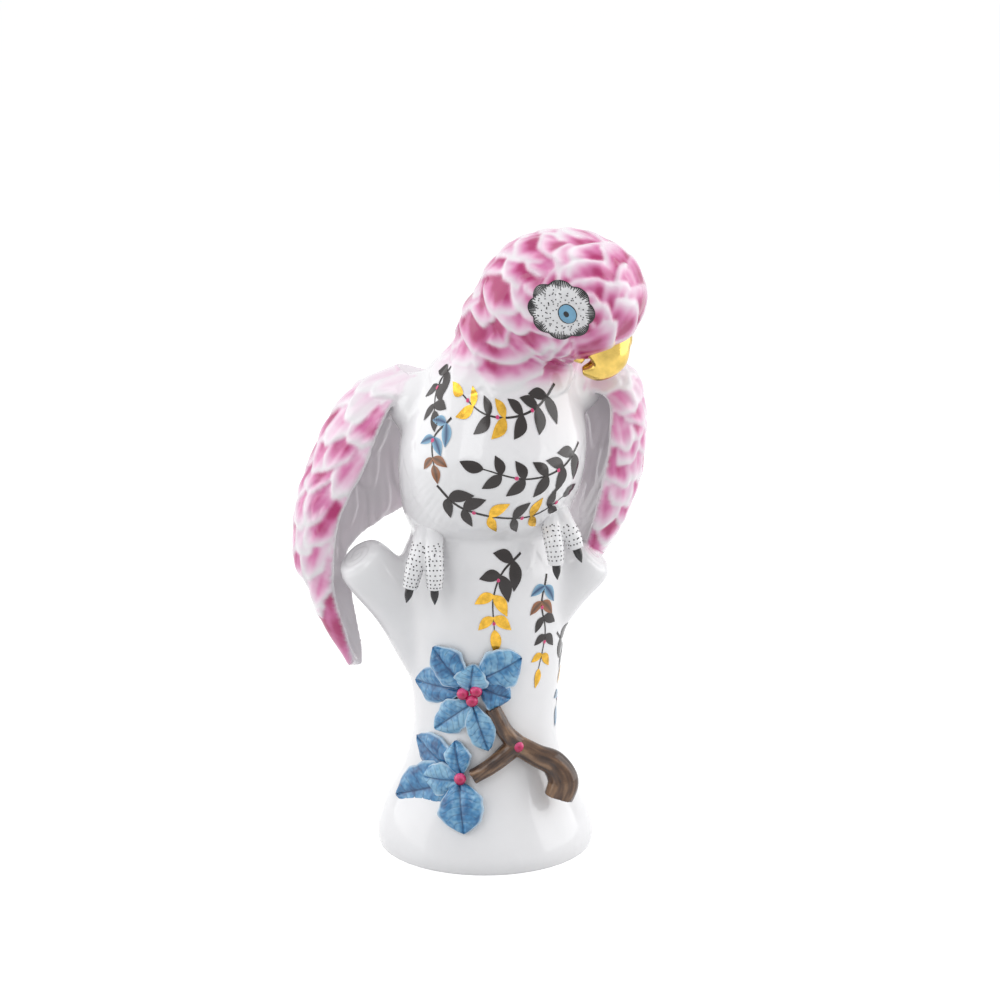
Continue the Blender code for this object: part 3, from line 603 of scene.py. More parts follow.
def fused(forms, voxel, rounds):
    """One closed skin round overlapping forms, with the joins between them softened."""
    obj = add_object("forms", mesh_from(forms, "forms"))
    skin = obj.modifiers.new("skin", "REMESH")
    skin.mode = "VOXEL"
    skin.voxel_size = voxel
    soften = obj.modifiers.new("soften", "SMOOTH")
    soften.factor = 0.5
    soften.iterations = rounds
    return evaluated(obj)


def as_form(mesh):
    """A mesh's points and faces."""
    return read_points(mesh), [tuple(f.vertices) for f in mesh.polygons]


def spread_out(mesh, values, rounds):
    """Values at the vertices, averaged with their neighbours' a few times."""
    edges = np.zeros(len(mesh.edges) * 2, int)
    mesh.edges.foreach_get("vertices", edges)
    a, b = edges.reshape(-1, 2).T
    count = len(mesh.vertices)
    near = np.bincount(a, minlength=count) + np.bincount(b, minlength=count)
    values = np.asarray(values, float)
    flat = values.reshape(count, -1).copy()
    for _ in range(rounds):
        for k in range(flat.shape[1]):
            total = np.bincount(a, flat[b, k], count) + np.bincount(b, flat[a, k], count)
            flat[:, k] = 0.5 * flat[:, k] + 0.5 * total / np.maximum(near, 1)
    return flat.reshape(values.shape)


def set_paint(mesh, colours):
    """Writes the painted colour at each vertex."""
    layer = mesh.color_attributes.new("paint", "FLOAT_COLOR", "POINT")
    values = np.ones((len(mesh.vertices), 4))
    values[:, :3] = colours
    layer.data.foreach_set("color", values.ravel())


def finish_piece(name, mesh, *materials):
    """A finished piece that rides on the figurine and stands for its solid."""
    obj = add_object(name, mesh)
    for material in materials:
        mesh.materials.append(material)
    mesh.shade_smooth()
    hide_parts(NODE)
    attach(obj, "root")
    return obj


# Plumage


def head_feathers():
    """Wide overlapping locks in rows that turn round the eyes, from the beak over the crown to the nape."""
    feathers = []
    first, last = math.radians(-24), math.radians(352)
    for row, turn in enumerate(np.arange(first, last, CREST_ROW)):
        stagger = 0.5 if row % 2 else 0.0
        for k in range(-3, 4):
            stray = math.sin(5.1 * row + 2.3 * k)
            lean = (k + stagger + 0.12 * stray) * CREST_SPREAD
            if abs(lean) > math.radians(80):
                continue
            swing = turn + 0.05 * math.sin(3.7 * row + 1.9 * k)
            here, ahead = head_point(swing, lean), head_point(swing + 0.05, lean)
            size = 0.35 + 0.65 * math.cos(lean)
            width = HEAD_LOCK_WIDTH * (0.62 + 0.38 * size) * (1 + 0.12 * stray)
            tint = 1.05 + 0.25 * math.sin(2.9 * row + 4.1 * k)
            curl = 0.32 * stray + 0.25 * math.sin(lean)
            feathers.append((here, ahead - here, CREST_FEATHER * size, width, 1.9, tint, 0.30, curl))
    return feathers


def round_about(row, around):
    """Level directions all the way round, every other row turned by half a step."""
    for k in range(around):
        angle = 2 * math.pi * (k + 0.5 * (row % 2)) / around
        yield k, np.array([math.cos(angle), math.sin(angle), 0])


def neck_feathers():
    """Looser rows round the neck, pointing down, the paint paler from row to row."""
    feathers = []
    for row, tint in enumerate((1.0, 0.62, 0.16)):
        centre = np.array([0.010, -0.004, STUMP_HEIGHT + BODY_HEIGHT + 0.0395 - NECK_ROW * row])
        for k, out in round_about(row, 11):
            down = np.array([0, 0, -1.0]) + 0.2 * out
            shade = tint * (1 + 0.3 * math.sin(3.3 * k + row))
            feathers.append((centre + out * NECK_RADIUS, down, 2 * NECK_ROW, 0.0170, 0.9, shade, 0.5, 0.2))
    return feathers


def body_feathers():
    """Faint unpainted rows on the breast, flanks and back."""
    feathers = []
    for row in range(6):
        z = STUMP_HEIGHT + BODY_HEIGHT - 0.001 - 0.0105 * row
        for _, out in round_about(row, 16):
            root = np.array([0.003, -0.005, z]) + out * BODY_HALF_WIDTH * 0.95
            down = np.array([0, 0, -1.0]) - 0.1 * out
            feathers.append((root, down, 0.021, 0.0165, 0.32, 0.0, 0.0, 0.0))
    return feathers


def tail_feathers():
    """Long feathers side by side down the tail, in three layers, the paint fading in at its root."""
    feathers = []
    layers = ((0.024, 0.046, 0.45), (0.000, 0.050, 0.85), (-0.026, 0.054, 1.0))
    for row, (start, length, tint) in enumerate(layers):
        for k in range(-3, 4):
            x = -0.003 + (k + 0.5 * (row % 2)) * 0.0088
            root = np.array([x, WAIST_RADIUS + 0.008, STUMP_HEIGHT + start])
            fan = np.array([-0.05 * k, 0, -1.0])
            shade = tint * (0.9 + 0.2 * math.sin(2.9 * k + row))
            reach = length * (1 + 0.06 * math.sin(4.1 * k + row))
            feathers.append((root, fan, reach, 1.2 * FEATHER_WIDTH, 1.1, shade, 0.6, 0.0))
    return feathers


def wing_feathers(stations, outward, covert, lift=1.6, painted=1.0):
    """Staggered rows of round coverts, then long flight feathers side by side down to the tip."""
    rows, columns = 101, 41
    middle = wing_grid(stations, rows, np.linspace(-1, 1, columns))
    grid = middle + outward_normals(middle, outward) * WING_THICKNESS / 2
    feathers = []
    row, length, row_number = 1.0, covert, 0
    while row < FLIGHT_START * rows:
        line = grid[int(row)]
        across = np.linalg.norm(np.diff(line, axis=0), axis=1).sum()
        count = max(2, round(across / COVERT_WIDTH))
        stagger = 0.25 if row_number % 2 else -0.25
        for k in range(count):
            column = min(max(round(columns * (k + 0.5 + stagger) / count), 1), columns - 2)
            ahead = grid[min(int(row) + 6, rows - 1), column + 1]
            direction = ahead - line[column]
            tint = painted * (0.80 + 0.28 * math.sin(2.7 * k + 4.4 * row_number))
            tint *= 0.15 + 0.85 * smoothstep(row / rows, 0.03, 0.16)
            curl = 0.25 * math.sin(1.9 * k + 2.3 * row_number)
            reach, width = 1.8 * length, 1.15 * COVERT_WIDTH
            feathers.append((line[column], direction, reach, width, lift, tint, 0.9, curl))
        row += rows * 0.85 * length / WING_LENGTH
        length *= COVERT_GROWTH
        row_number += 1
    start = int(row) - 8
    for k in range(4):
        column = int(columns * (k + 0.6) / 4.4)
        root = grid[start, column]
        direction = grid[-1, int(0.3 * column + 0.35 * columns)] - root
        length = 1.25 * np.linalg.norm(direction)
        width = 0.55 * np.linalg.norm(grid[start, -1] - grid[start, 0])
        feathers.append((root, direction, length, width, 0.8 * lift, painted, 0.30, 0.0))
    return feathers


def lay_feathers(points, normals, feathers, depth):
    """Height, share of the feather's length, place across it, tint and brush phase at each point.

    Feathers later in the list lie under earlier ones. Each rises from its root to its round tip,
    and reaches points up to the depth above or below its root's plane.
    """
    height, across, tint, stroke, edge = (np.zeros(len(points)) for _ in range(5))
    share = np.ones(len(points))
    for number, feather in enumerate(reversed(feathers)):
        root, direction, length, width, lift, paint, bare, curl = feather
        close = np.nonzero(((points - root) ** 2).sum(1) < (length * 1.25) ** 2)[0]
        if not len(close):
            continue
        nearest = close[np.argmin(((points[close] - root) ** 2).sum(1))]
        out = normals[nearest]
        forward = unit(direction - (direction @ out) * out)
        side = np.cross(out, forward)
        close = close[normals[close] @ out > 0.15]
        local = points[close] - points[nearest]
        u = local @ forward / length
        v = local @ side / (width / 2) - curl * np.clip(u, 0, 1.2) ** 2
        lopsided = 0.25 * math.sin(2.1 * number)
        tip = 1 - 0.36 * (v - lopsided) ** 2 + 0.04 * np.sin(5.2 * v + number)
        deep = np.abs(local @ out) < min(0.42 * length, depth)
        inside = (u > 0) & (u < tip) & (np.abs(v) < 1) & deep
        chosen = close[inside]
        along, wide = u[inside] / tip[inside], v[inside]
        rise = 0.05 + 0.95 * along**1.3 - 0.35 * smoothstep(along, 0.86, 1.0)
        furrow = 1 + 0.12 * np.cos(7.5 * wide + 2.5 * along + number) * smoothstep(along, 0.1, 0.4)
        rise = FEATHER_STEP * lift * rise * (1 - 0.25 * wide**2) * furrow
        to_tip = (tip[inside] - u[inside]) * length
        to_side = (1 - np.abs(wide)) * width / 2
        cover = np.clip(to_tip / RIM_SOFT, 0, 1) * np.clip(to_side / RIM_SOFT, 0, 1)
        for field, value in zip((height, share, across, tint, edge), (rise, along, wide, paint, bare)):
            field[chosen] += (value - field[chosen]) * cover
        stroke[chosen[cover > 0.5]] = number * 1.7
    return height, share, across, tint, stroke, edge


PLUMAGE_STOPS = ((0.0, WHITE), (0.22, BLUSH), (0.58, PINK), (1.0, MAGENTA))
# How strong the paint is at each share of a feather's length
PAINT_PLACES = (0.0, 0.12, 0.52, 0.68, 0.81, 0.90, 0.95)
PAINT_STRENGTHS = (0.35, 1.0, 1.0, 0.72, 0.34, 0.08, 0.0)


def plumage_colour(points, share, across, tint, stroke, edge):
    """Brush strokes, darkest where a feather comes out from under the next, that end in a pale tip."""
    strength = np.interp(share, PAINT_PLACES, PAINT_STRENGTHS)
    strength *= 1 - edge * across**2
    broad, fine = np.sin(7 * across + stroke), np.sin(15 * across + 2.3 * stroke + 3 * share)
    strength *= 1 + 0.16 * broad + 0.12 * fine
    strength *= 0.92 + 0.55 * grain(points, 0.0075, 3.0) + 0.16 * grain(points, 0.0019, 8.0)
    strength = np.clip(strength * tint, 0, 1)
    return blend_stops(strength, PLUMAGE_STOPS)


# Stump and bird


def stub_rings(points, normals, middle, end):
    """Growth rings pressed into the sawn end of a branch stub."""
    axis = unit(end - middle)
    local = points - end
    along = local @ axis
    radial = local - along[:, None] * axis
    distance = np.linalg.norm(radial, axis=1)
    side = np.cross(axis, (0, 1, 0))
    angle = np.arctan2(radial @ np.cross(axis, side), radial @ side)
    at_end = (distance < 1.2 * STUB_RADIUS) * (along > -STUB_RADIUS)
    facing = smoothstep(normals @ axis, 0.30, 0.75) * at_end
    wave = np.cos(2 * math.pi * distance / RING_PITCH + angle)
    return -RING_DEPTH * np.maximum(wave, 0) ** 2 * facing


def eye_bulge(points):
    """A low dome for each eye."""
    bulge = np.zeros(len(points))
    for side in (-1, 1):
        distance = np.linalg.norm(points - head_point(0, side * EYE_LEAN), axis=1)
        bulge += EYE_BULGE * np.clip(1 - (distance / EYE_RADIUS) ** 2, 0, 1) ** 0.5
    return bulge


def flank_creases(points):
    """Fine creases in the down where belly and thigh meet, on both flanks."""
    crease = np.zeros(len(points))
    for side, centre in ((-1, (-0.024, 0.150)), (1, (0.031, 0.152))):
        x, z = (points[:, 0] - centre[0]) * side, points[:, 2] - centre[1]
        window = np.exp(-((x / 0.009) ** 2) - (z / 0.011) ** 2) * (points[:, 1] < -0.002)
        wave = np.cos(2 * math.pi * (x + 0.55 * z + 12 * z * z) / 0.0030)
        crease -= 0.00032 * np.maximum(wave, 0) ** 2 * window
    return crease


def wing_sides(points, wings):
    """1 for points on the outer side of a wing, -1 for its inner side and 0 elsewhere."""
    sides = np.zeros(len(points))
    reach = (points[:, 2] > 0.07) & (points[:, 2] < 0.21) & (np.abs(points[:, 0]) > 0.018)
    for form_points, faces in wings:
        tree = BVHTree.FromPolygons(form_points.tolist(), faces)
        front = (len(faces) - 2 * (WING_ROWS + WING_COLUMNS) + 4) / 2
        for i in np.nonzero(reach)[0]:
            place, _, face, _ = tree.find_nearest(Vector(points[i]), SKIN_REACH)
            if place is not None:
                sides[i] = 1 if face < front else -1
    return sides


def skin_parts(points):
    """Which piece of the skin each face centre belongs to."""
    x, z = points[:, 0], points[:, 2]
    part = np.full(len(points), 0)
    part[z > PERCH_SEAM] = 1
    part[(z > PERCH_SEAM) & (z > NECK_SEAM - NECK_SEAM_SLOPE * x)] = 2
    part[(x < LEFT_SEAM) & (z > LEFT_FOOT)] = 3
    part[(x > RIGHT_SEAM) & (z > RIGHT_FOOT) & (z < RIGHT_TOP)] = 4
    return part


SKIN_NAMES = ("stump", "breast", "head", "left_wing", "right_wing")


def figurine_skin():
    """Places, normals, faces and painted colours of the whole cast skin."""
    mass = [stacked(stump_sections()), stacked(body_sections()), head()]
    mass += [stub(*points) for points in STUBS]
    mass += [thigh(-1, -0.0205, -0.0120, 0.014), thigh(1, 0.0240, -0.0130, 0.018)]
    shoulder = np.diag(SHOULDER_SHAPE) * SHOULDER_RADIUS
    mass += [
        ellipsoid((-0.0260, 0.000, STUMP_HEIGHT + 0.056), shoulder),
        ellipsoid((0.0360, 0.004, STUMP_HEIGHT + 0.063), shoulder * 0.9),
    ]
    wings = [wing(LEFT_WING, -1), wing(RIGHT_WING, 1)]
    skin = fused([as_form(fused(mass, SOFT_VOXEL, 12))] + wings + [tail()], SKIN_VOXEL, 4)
    points, normals = read_points(skin), read_points(skin, "normal")

    sides = wing_sides(points, wings)
    plumage = head_feathers() + neck_feathers() + body_feathers()
    fields = lay_feathers(points, normals, plumage, FEATHER_DEPTH)
    on_tail = (points[:, 1] > WAIST_RADIUS - 0.003) & (points[:, 2] < STUMP_HEIGHT + 0.016)
    on_tail &= (np.abs(points[:, 0] + 0.003) < 1.15 * TAIL_HALF_WIDTH) & (sides == 0)
    on_tail &= points[:, 2] > STUMP_HEIGHT + 0.013 - TAIL_LENGTH
    left = points[:, 0] < 0
    tail_root = smoothstep(points[:, 2], STUMP_HEIGHT - 0.002, STUMP_HEIGHT + 0.014)
    regions = (
        (on_tail, tail_feathers()),
        ((sides > 0) & left, wing_feathers(LEFT_WING, -1, LEFT_COVERT)),
        ((sides > 0) & ~left, wing_feathers(RIGHT_WING, 1, RIGHT_COVERT)),
        ((sides < 0) & left, wing_feathers(LEFT_WING, 1, 0.0150, 0.75, 0.0)),
        ((sides < 0) & ~left, wing_feathers(RIGHT_WING, -1, 0.0150, 0.75, 0.0)),
    )
    for region, feathers in regions:
        laid = lay_feathers(points[region], normals[region], feathers, LONG_FEATHER_DEPTH)
        for field, part in zip(fields, laid):
            field[region] = part
    height, share, across, tint, stroke, edge = fields
    tint[on_tail] *= 1 - tail_root[on_tail]
    neck = (sides == 0) & ~on_tail
    tint[neck] *= smoothstep(points[neck, 2], *NECK_PAINT_FADE)
    height[on_tail] *= 1 - 0.7 * tail_root[on_tail]
    height = spread_out(skin, height, 2) + eye_bulge(points) + flank_creases(points)
    for _, middle, end in STUBS:
        height += stub_rings(points, normals, middle, end)
    low = smoothstep(points[:, 2], *BARK_FOOT) * (1 - smoothstep(points[:, 2], *BARK_TOP))
    height += BARK_WAVE * grain(points * (1, 1, 0.4), 0.013, 5.0) * low

    colours = np.tile(WHITE, (len(points), 1))
    painted = tint > 0
    colours[painted] = plumage_colour(
        *(field[painted] for field in (points, share, across, tint, stroke, edge))
    )
    inner = sides < 0
    tone = 0.55 + 0.35 * grain(points[inner], 0.017, 2.0)
    colours[inner] = WHITE + (LILAC - WHITE) * np.clip(tone, 0, 1)[:, None]
    bare = (sides > 0) & ~painted
    colours[bare] = blend_stops(0.25 + 0.15 * grain(points[bare], 0.008, 4.0), PLUMAGE_STOPS)
    colours = spread_out(skin, colours, 2)

    points = points + normals * height[:, None]
    points[:, 2] = np.maximum(points[:, 2], 0)
    write_points(skin, points)
    faces = np.zeros(len(skin.polygons) * 4, int)
    skin.polygons.foreach_get("vertices", faces)
    return points, read_points(skin, "normal"), faces.reshape(-1, 4), colours


def lay_skin(points, normals, faces, colours, material):
    """The skin in five pieces that share the normals of the whole, so that no seam shows."""
    centres = points[faces].mean(axis=1)
    under = (centres[:, 2] < 1e-5) & (np.hypot(centres[:, 0], centres[:, 1]) < UNDERSIDE_RADIUS)
    parts = skin_parts(centres)
    for number, name in enumerate(SKIN_NAMES):
        chosen = faces[(parts == number) & ~under]
        used, local = np.unique(chosen, return_inverse=True)
        mesh = bpy.data.meshes.new(name)
        mesh.from_pydata(points[used].tolist(), [], local.reshape(-1, 4).tolist())
        set_paint(mesh, colours[used])
        finish_piece(name, mesh, material)
        mesh.normals_split_custom_set_from_vertices(normals[used].tolist())


# Hollow and underside


def hollow():
    """The raw inner wall of the cast, open at the vent."""
    stump, body = stump_sections(), body_sections()
    z, x, y, half_width, half_depth = stump[2]
    sections = [(FLOOR, x, y, half_width - WALL * 1.8, half_depth - WALL * 1.8)]
    for z, x, y, half_width, half_depth in stump[3:-3] + [stump[-2]] + body[3:8]:
        sections.append((z, x, y, half_width - WALL, half_depth - WALL))
    z, x, y, half_width, half_depth = sections[-1]
    sections.append((z + WALL, x, y, half_width * 0.4, half_depth * 0.4))
    room = add_object("room", mesh_from([stacked(sections, 120, 96)], "room"))
    rings = [
        [(VENT_RADIUS * math.cos(a), VENT_SETBACK + VENT_RADIUS * math.sin(a), z) for a in round_angles(64)]
        for z in (-0.003, 0.5 * FLOOR, FLOOR + 0.006)
    ]
    plug = add_object("plug", mesh_from([bridge_rings(rings)], "plug"))
    joined = room.modifiers.new("joined", "BOOLEAN")
    joined.operation = "UNION"
    joined.solver = "EXACT"
    joined.object = plug
    mesh = evaluated(room)
    bpy.data.objects.remove(plug)
    shape = bmesh.new()
    shape.from_mesh(mesh)
    below = [v for v in shape.verts if v.co.z < -0.001]
    bmesh.ops.delete(shape, geom=below, context="VERTS")
    bmesh.ops.reverse_faces(shape, faces=shape.faces)
    for vertex in shape.verts:
        vertex.co.z = max(vertex.co.z, 0.0002)
    shape.to_mesh(mesh)
    shape.free()
    return mesh


def underside():
    """The flat unglazed foot with the vent through it."""
    rows, around = 26, 96
    points = []
    for s in np.linspace(0, 1, rows):
        for a in round_angles(around):
            inner = np.array([VENT_RADIUS * math.cos(a), VENT_SETBACK + VENT_RADIUS * math.sin(a)])
            outer = (UNDERSIDE_RADIUS + 0.0012) * np.array([math.cos(a), math.sin(a)])
            x, y = inner * (1 - s) + outer * s
            points.append((x, y, 0.00015 + 0.00025 * math.exp(-s * 30)))
    mesh = bpy.data.meshes.new("underside")
    mesh.from_pydata(points, [], ring_faces(rows, around))
    return mesh


# Feet, beak, twig, leaves and berries


def toe_dots(tree):
    """Small dots in staggered rows round each toe."""
    forms = []
    for points, top in zip(TOES, DOT_TOPS):
        path = smooth_rows(np.array(points), 60)
        steps = np.linalg.norm(np.diff(path, axis=0), axis=1)
        length = np.concatenate([[0], np.cumsum(steps)])
        for row, place in enumerate(np.arange(0.001, length[-1] - 0.0012, DOT_PITCH)):
            centre, beyond = (
                np.array([np.interp(at, length, path[:, k]) for k in range(3)])
                for at in (place, place + 0.001)
            )
            ahead = unit(beyond - centre)
            side = unit(np.cross(ahead, (0, 1, 0)))
            over = np.cross(ahead, side)
            for k in range(DOTS_AROUND):
                step = k + 0.5 * (row % 2) + 0.22 * math.sin(5.3 * k + 3.1 * row)
                angle = 2 * math.pi * step / DOTS_AROUND
                out = math.cos(angle) * side + math.sin(angle) * over
                start = centre + out * 3 * TOE_RADIUS
                hit, normal, _, _ = tree.ray_cast(Vector(start), Vector(-out), 3 * TOE_RADIUS)
                if hit is not None and hit[2] < top:
                    forms.append(spot(np.array(hit), np.array(normal), DOT_RADIUS))
    return forms


def spot(place, normal, radius, around=10):
    """A small round of paint on the skin."""
    side = unit(np.cross(normal, (0.3, 0.2, 1.0)))
    over = np.cross(normal, side)
    centre = place + normal * PAINT_LIFT
    rim = [math.cos(a) * side + math.sin(a) * over for a in round_angles(around)]
    points = [centre] + [centre + radius * out for out in rim]
    faces = [(0, 1 + k, 1 + (k + 1) % around) for k in range(around)]
    return np.array(points), faces


def twig_paths():
    """Stations of the applied twig: an elbow at its sawn end, a fork, and two shoots."""
    r = TWIG_RADIUS
    fork = (*on_stump(0.0130, WAIST_HEIGHT - 0.0050, r * 0.6), r * 1.15, r * 1.15)
    stem = [
        (0.0300, -0.0310, WAIST_HEIGHT - 0.0275, r * 1.66, r * 1.40),
        (0.0320, -0.0300, WAIST_HEIGHT - 0.0205, r * 1.78, r * 1.50),
        (0.0282, -0.0290, WAIST_HEIGHT - 0.0135, r * 1.55, r * 1.38),
        (0.0210, -0.0300, WAIST_HEIGHT - 0.0095, r * 1.30, r * 1.25),
        fork,
    ]
    upper = [
        fork,
        (*on_stump(0.0080, WAIST_HEIGHT + 0.0015, r * 0.7), r, r),
        (*on_stump(0.0030, WAIST_HEIGHT + 0.0115, r * 0.6), r * 0.85, r * 0.85),
    ]
    lower = [
        fork,
        (*on_stump(0.0035, WAIST_HEIGHT - 0.0120, r * 0.8), r * 0.95, r * 0.9),
        (*on_stump(-0.0052, WAIST_HEIGHT - 0.0170, r * 0.9), r * 0.90, r * 0.85),
    ]
    return stem, upper, lower


def twig_skin():
    """The twig with bark ridges along it, dark in the grooves."""
    paths = twig_paths()
    mesh = fused([tube(path, count=40, around=32) for path in paths], SMALL_VOXEL, 4)
    points, normals = read_points(mesh), read_points(mesh, "normal")
    best = np.full(len(points), 1.0)
    flow = np.zeros((len(points), 3))
    for number, path in enumerate(paths):
        rows = smooth_rows(path, 80)[:, :3]
        reach = np.linalg.norm(points[:, None, :] - rows[None, ::2, :], axis=2)
        nearest = reach.argmin(axis=1)
        distance = reach.min(axis=1)
        local = points - rows[::2][nearest]
        side = np.cross(tangents_along(rows)[::2][nearest], (0, 1, 0))
        angle = np.arctan2(local @ np.array([0, 1.0, 0]), (local * side).sum(1))
        here = np.stack([np.cos(angle), np.sin(angle), nearest * 0.035 + 5.0 * number], axis=1)
        closer = distance < best
        flow[closer] = here[closer]
        best = np.minimum(best, distance)
    ridge = grain(flow * (1, 1, 0.9), 0.50, 1.0) + 0.45 * grain(flow * (1, 1, 0.8), 0.17, 6.0)
    colours = blend_stops(
        smoothstep(ridge + 0.30 * grain(points, 0.005, 2.0), -0.75, 0.85),
        ((0.0, TWIG_DARK), (0.45, TWIG_BROWN), (1.0, TWIG_LIGHT)),
    )
    write_points(mesh, points + normals * (0.00022 * ridge)[:, None])
    set_paint(mesh, colours)
    return mesh


# Each leaf: foot x, foot height and tip x, tip height from the waist, width and lift
LEAVES = (
    (-0.0076, 0.0213, -0.0210, 0.0355, 0.0152, 1.0),
    (-0.0094, 0.0187, -0.0285, 0.0180, 0.0152, 0.5),
    (-0.0056, 0.0193, -0.0046, 0.0300, 0.0134, 1.7),
    (-0.0035, 0.0235, 0.0150, 0.0320, 0.0171, 1.0),
    (-0.0013, 0.0200, 0.0105, 0.0150, 0.0140, 0.4),
    (-0.0052, 0.0130, -0.0206, 0.0000, 0.0134, 0.6),
    (-0.0049, 0.0130, 0.0015, -0.0065, 0.0116, 1.1),
    (-0.0115, -0.0161, -0.0280, -0.0060, 0.0165, 1.0),
    (-0.0091, -0.0161, -0.0122, -0.0030, 0.0110, 1.4),
    (-0.0099, -0.0185, -0.0255, -0.0200, 0.0134, 1.6),
    (-0.0120, -0.0200, -0.0370, -0.0320, 0.0220, 0.3),
    (-0.0099, -0.0195, -0.0084, -0.0385, 0.0189, 0.9),
)
BERRIES = (
    (-0.0089, 0.0180),
    (-0.0035, 0.0195),
    (-0.0052, 0.0153),
    (-0.0101, -0.0175),
    (0.0137, -0.0050),
)


def leaf(number, foot_x, foot_z, tip_x, tip_z, width, lift, rows=76, columns=49):
    """A pointed leaf with a folded midrib, pressed side veins and wavy sides, and its colours."""
    raised = 0.4 * LEAF_LIFT * lift
    foot = np.array(on_stump(foot_x, WAIST_HEIGHT + foot_z, 0.3 * LEAF_LIFT + raised))
    tip = np.array(on_stump(tip_x, WAIST_HEIGHT + tip_z, 0.4 * LEAF_LIFT + raised))
    along = tip - foot
    out = (foot + tip) / 2 * np.array([1, 1, 0])
    across = unit(np.cross(along, unit(out)))
    out = np.cross(across, unit(along))
    u = np.linspace(0, 1, rows)[:, None]
    v = np.sin(np.linspace(-1, 1, columns) * math.pi / 2)[None, :]
    belly = 0.85 + 0.30 * (0.5 + 0.5 * math.sin(2.4 * number))
    half = np.sin(math.pi * np.clip(u * 0.97 + 0.03, 0, 1) ** belly) ** 0.74 * 1.04
    wave = 0.07 * np.sin(u * 10.5 + 1.7 * number + 1.4 * np.sign(v)) + 0.025 * np.sin(u * 27 + number)
    half = width / 2 * np.maximum(half * (1 + wave * np.abs(v) ** 2), 0.04)
    bow = 0.0014 * np.sin(math.pi * u) + 0.0009 * np.sin(math.pi * np.minimum(np.abs(v) * 1.15, 1))
    bow = bow - 0.0010 * u**3 + 0.0007 * np.abs(v) ** 3 * np.sin(u * 9.5 + number)
    middle = foot + along * u[..., None] + across * (half * v)[..., None] + out * bow[..., None]

    lean = u - 0.20 * np.abs(v) * (1 - 0.4 * u) + 0.012 * np.sin(9 * v + number)
    gap = np.abs((lean * 6.5 + 0.5) % 1 - 0.5) / 6.5
    rib = np.exp(-((v * half / 0.00030) ** 2)) * (1 - smoothstep(u, 0.85, 0.97))
    vein = np.exp(-((gap / 0.0075) ** 2)) * smoothstep(np.abs(v), 0.02, 0.10)
    vein = vein * (1 - smoothstep(np.abs(v), 0.70, 0.92))
    vein = vein * smoothstep(u, 0.06, 0.14) * (1 - smoothstep(u, 0.86, 0.95))
    thickness = np.full((rows, columns), LEAF_THICKNESS) * (1 - 0.55 * np.abs(v) ** 8)
    thickness = thickness * (1 - 0.45 * smoothstep(u, 0.94, 1.0))
    thickness = thickness * (1 - 0.3 * (1 - smoothstep(u, 0, 0.05)))
    points, faces = sheet(middle, np.broadcast_to(out, middle.shape), thickness)
    top = rows * columns
    groove = (0.00034 * rib + 0.00020 * vein).reshape(-1)
    points[:top] -= out * groove[:, None]

    grains = 0.5 * grain(points[:top], 0.0045, 1.3 * number)
    grains = grains + 0.35 * grain(points[:top], 0.0013, number)
    tone = 0.44 + 0.30 * math.sin(1.9 * number + 0.6)
    near_rib = np.exp(-((v * half / 0.0016) ** 2)).reshape(-1)
    depth = np.clip(tone + 1.05 * grains + 0.20 * near_rib - 0.10, 0, 1)
    face = blend_stops(depth, ((0.0, LEAF_LIGHT), (0.5, LEAF_BLUE), (1.0, LEAF_DEEP)))
    ink = np.clip(0.78 * rib + 0.60 * vein, 0, 1).reshape(-1, 1)
    face = face * (1 - ink) + LEAF_VEIN * ink
    edge = (smoothstep(np.abs(v), 0.86, 1.0) + 0 * u).reshape(-1, 1) * 0.75
    face = face * (1 - edge) + LEAF_RIM * edge
    back = np.tile(0.5 * LEAF_LIGHT + 0.5 * WHITE, (top, 1))
    return points, faces, np.vstack([face, back])


def berry(x, z):
    """A round berry seated in the foliage or on the fork, with painted light and shade: lighter on top,
    darker underneath, and darker at its dimple.
    """
    centre = on_stump(x, WAIST_HEIGHT + z, BERRY_LIFT)
    points, faces = ellipsoid(centre, np.eye(3) * BERRY_RADIUS, around=36)
    local = (points - np.array(centre)) / BERRY_RADIUS
    facing = local @ np.array([0.12, -0.97, 0.2])
    points = points - local * (0.00045 * np.exp(-((1 - facing) / 0.035) ** 2))[:, None]
    # Painted light and shade: the colour runs lighter towards the top and darker underneath, and is darker
    # at the dimple.
    painted_light = np.clip(0.55 + 0.5 * local[:, 2] - 0.5 * np.exp(-((1 - facing) / 0.03) ** 2), 0, 1)
    return points, faces, blend_stops(painted_light, ((0.0, BERRY_DEEP), (0.6, BERRY), (1.0, BERRY_LIGHT)))


def painted_mesh(name, forms):
    """One mesh from closed forms that come with their colours."""
    mesh = mesh_from([(points, faces) for points, faces, _ in forms], name)
    set_paint(mesh, np.vstack([colours for _, _, colours in forms]))
    return mesh


# Printed and gilded sprigs


def lay_on(tree, azimuth, flat, layer, radius=None):
    """Flat (sideways, height) points laid on the skin as seen from an azimuth, 0 from the front.

    With a radius the pattern is wrapped round the upright form, else it is laid straight back.
    """
    turn = math.radians(azimuth)
    places = []
    for sideways, height in np.asarray(flat).tolist():
        angle = turn + (sideways / radius if radius else 0.0)
        outward = np.array([math.sin(angle), -math.cos(angle), 0])
        start = outward * 0.2 + np.array([0, 0, height])
        if radius:
            start += WRAP_CENTRE
        else:
            start += sideways * np.array([math.cos(turn), math.sin(turn), 0])
        hit, normal, _, _ = tree.ray_cast(Vector(start), Vector(-outward))
        if hit is None:
            return None
        places.append(np.array(hit) + np.array(normal) * PAINT_LIFT * layer)
    return np.array(places)


def grid_faces(rows, columns):
    """Quads of a grid of points."""
    index = np.arange(rows * columns).reshape(rows, columns)
    a, b, c, d = index[:-1, :-1], index[:-1, 1:], index[1:, 1:], index[1:, :-1]
    return np.stack([a, d, c, b], -1).reshape(-1, 4).tolist()


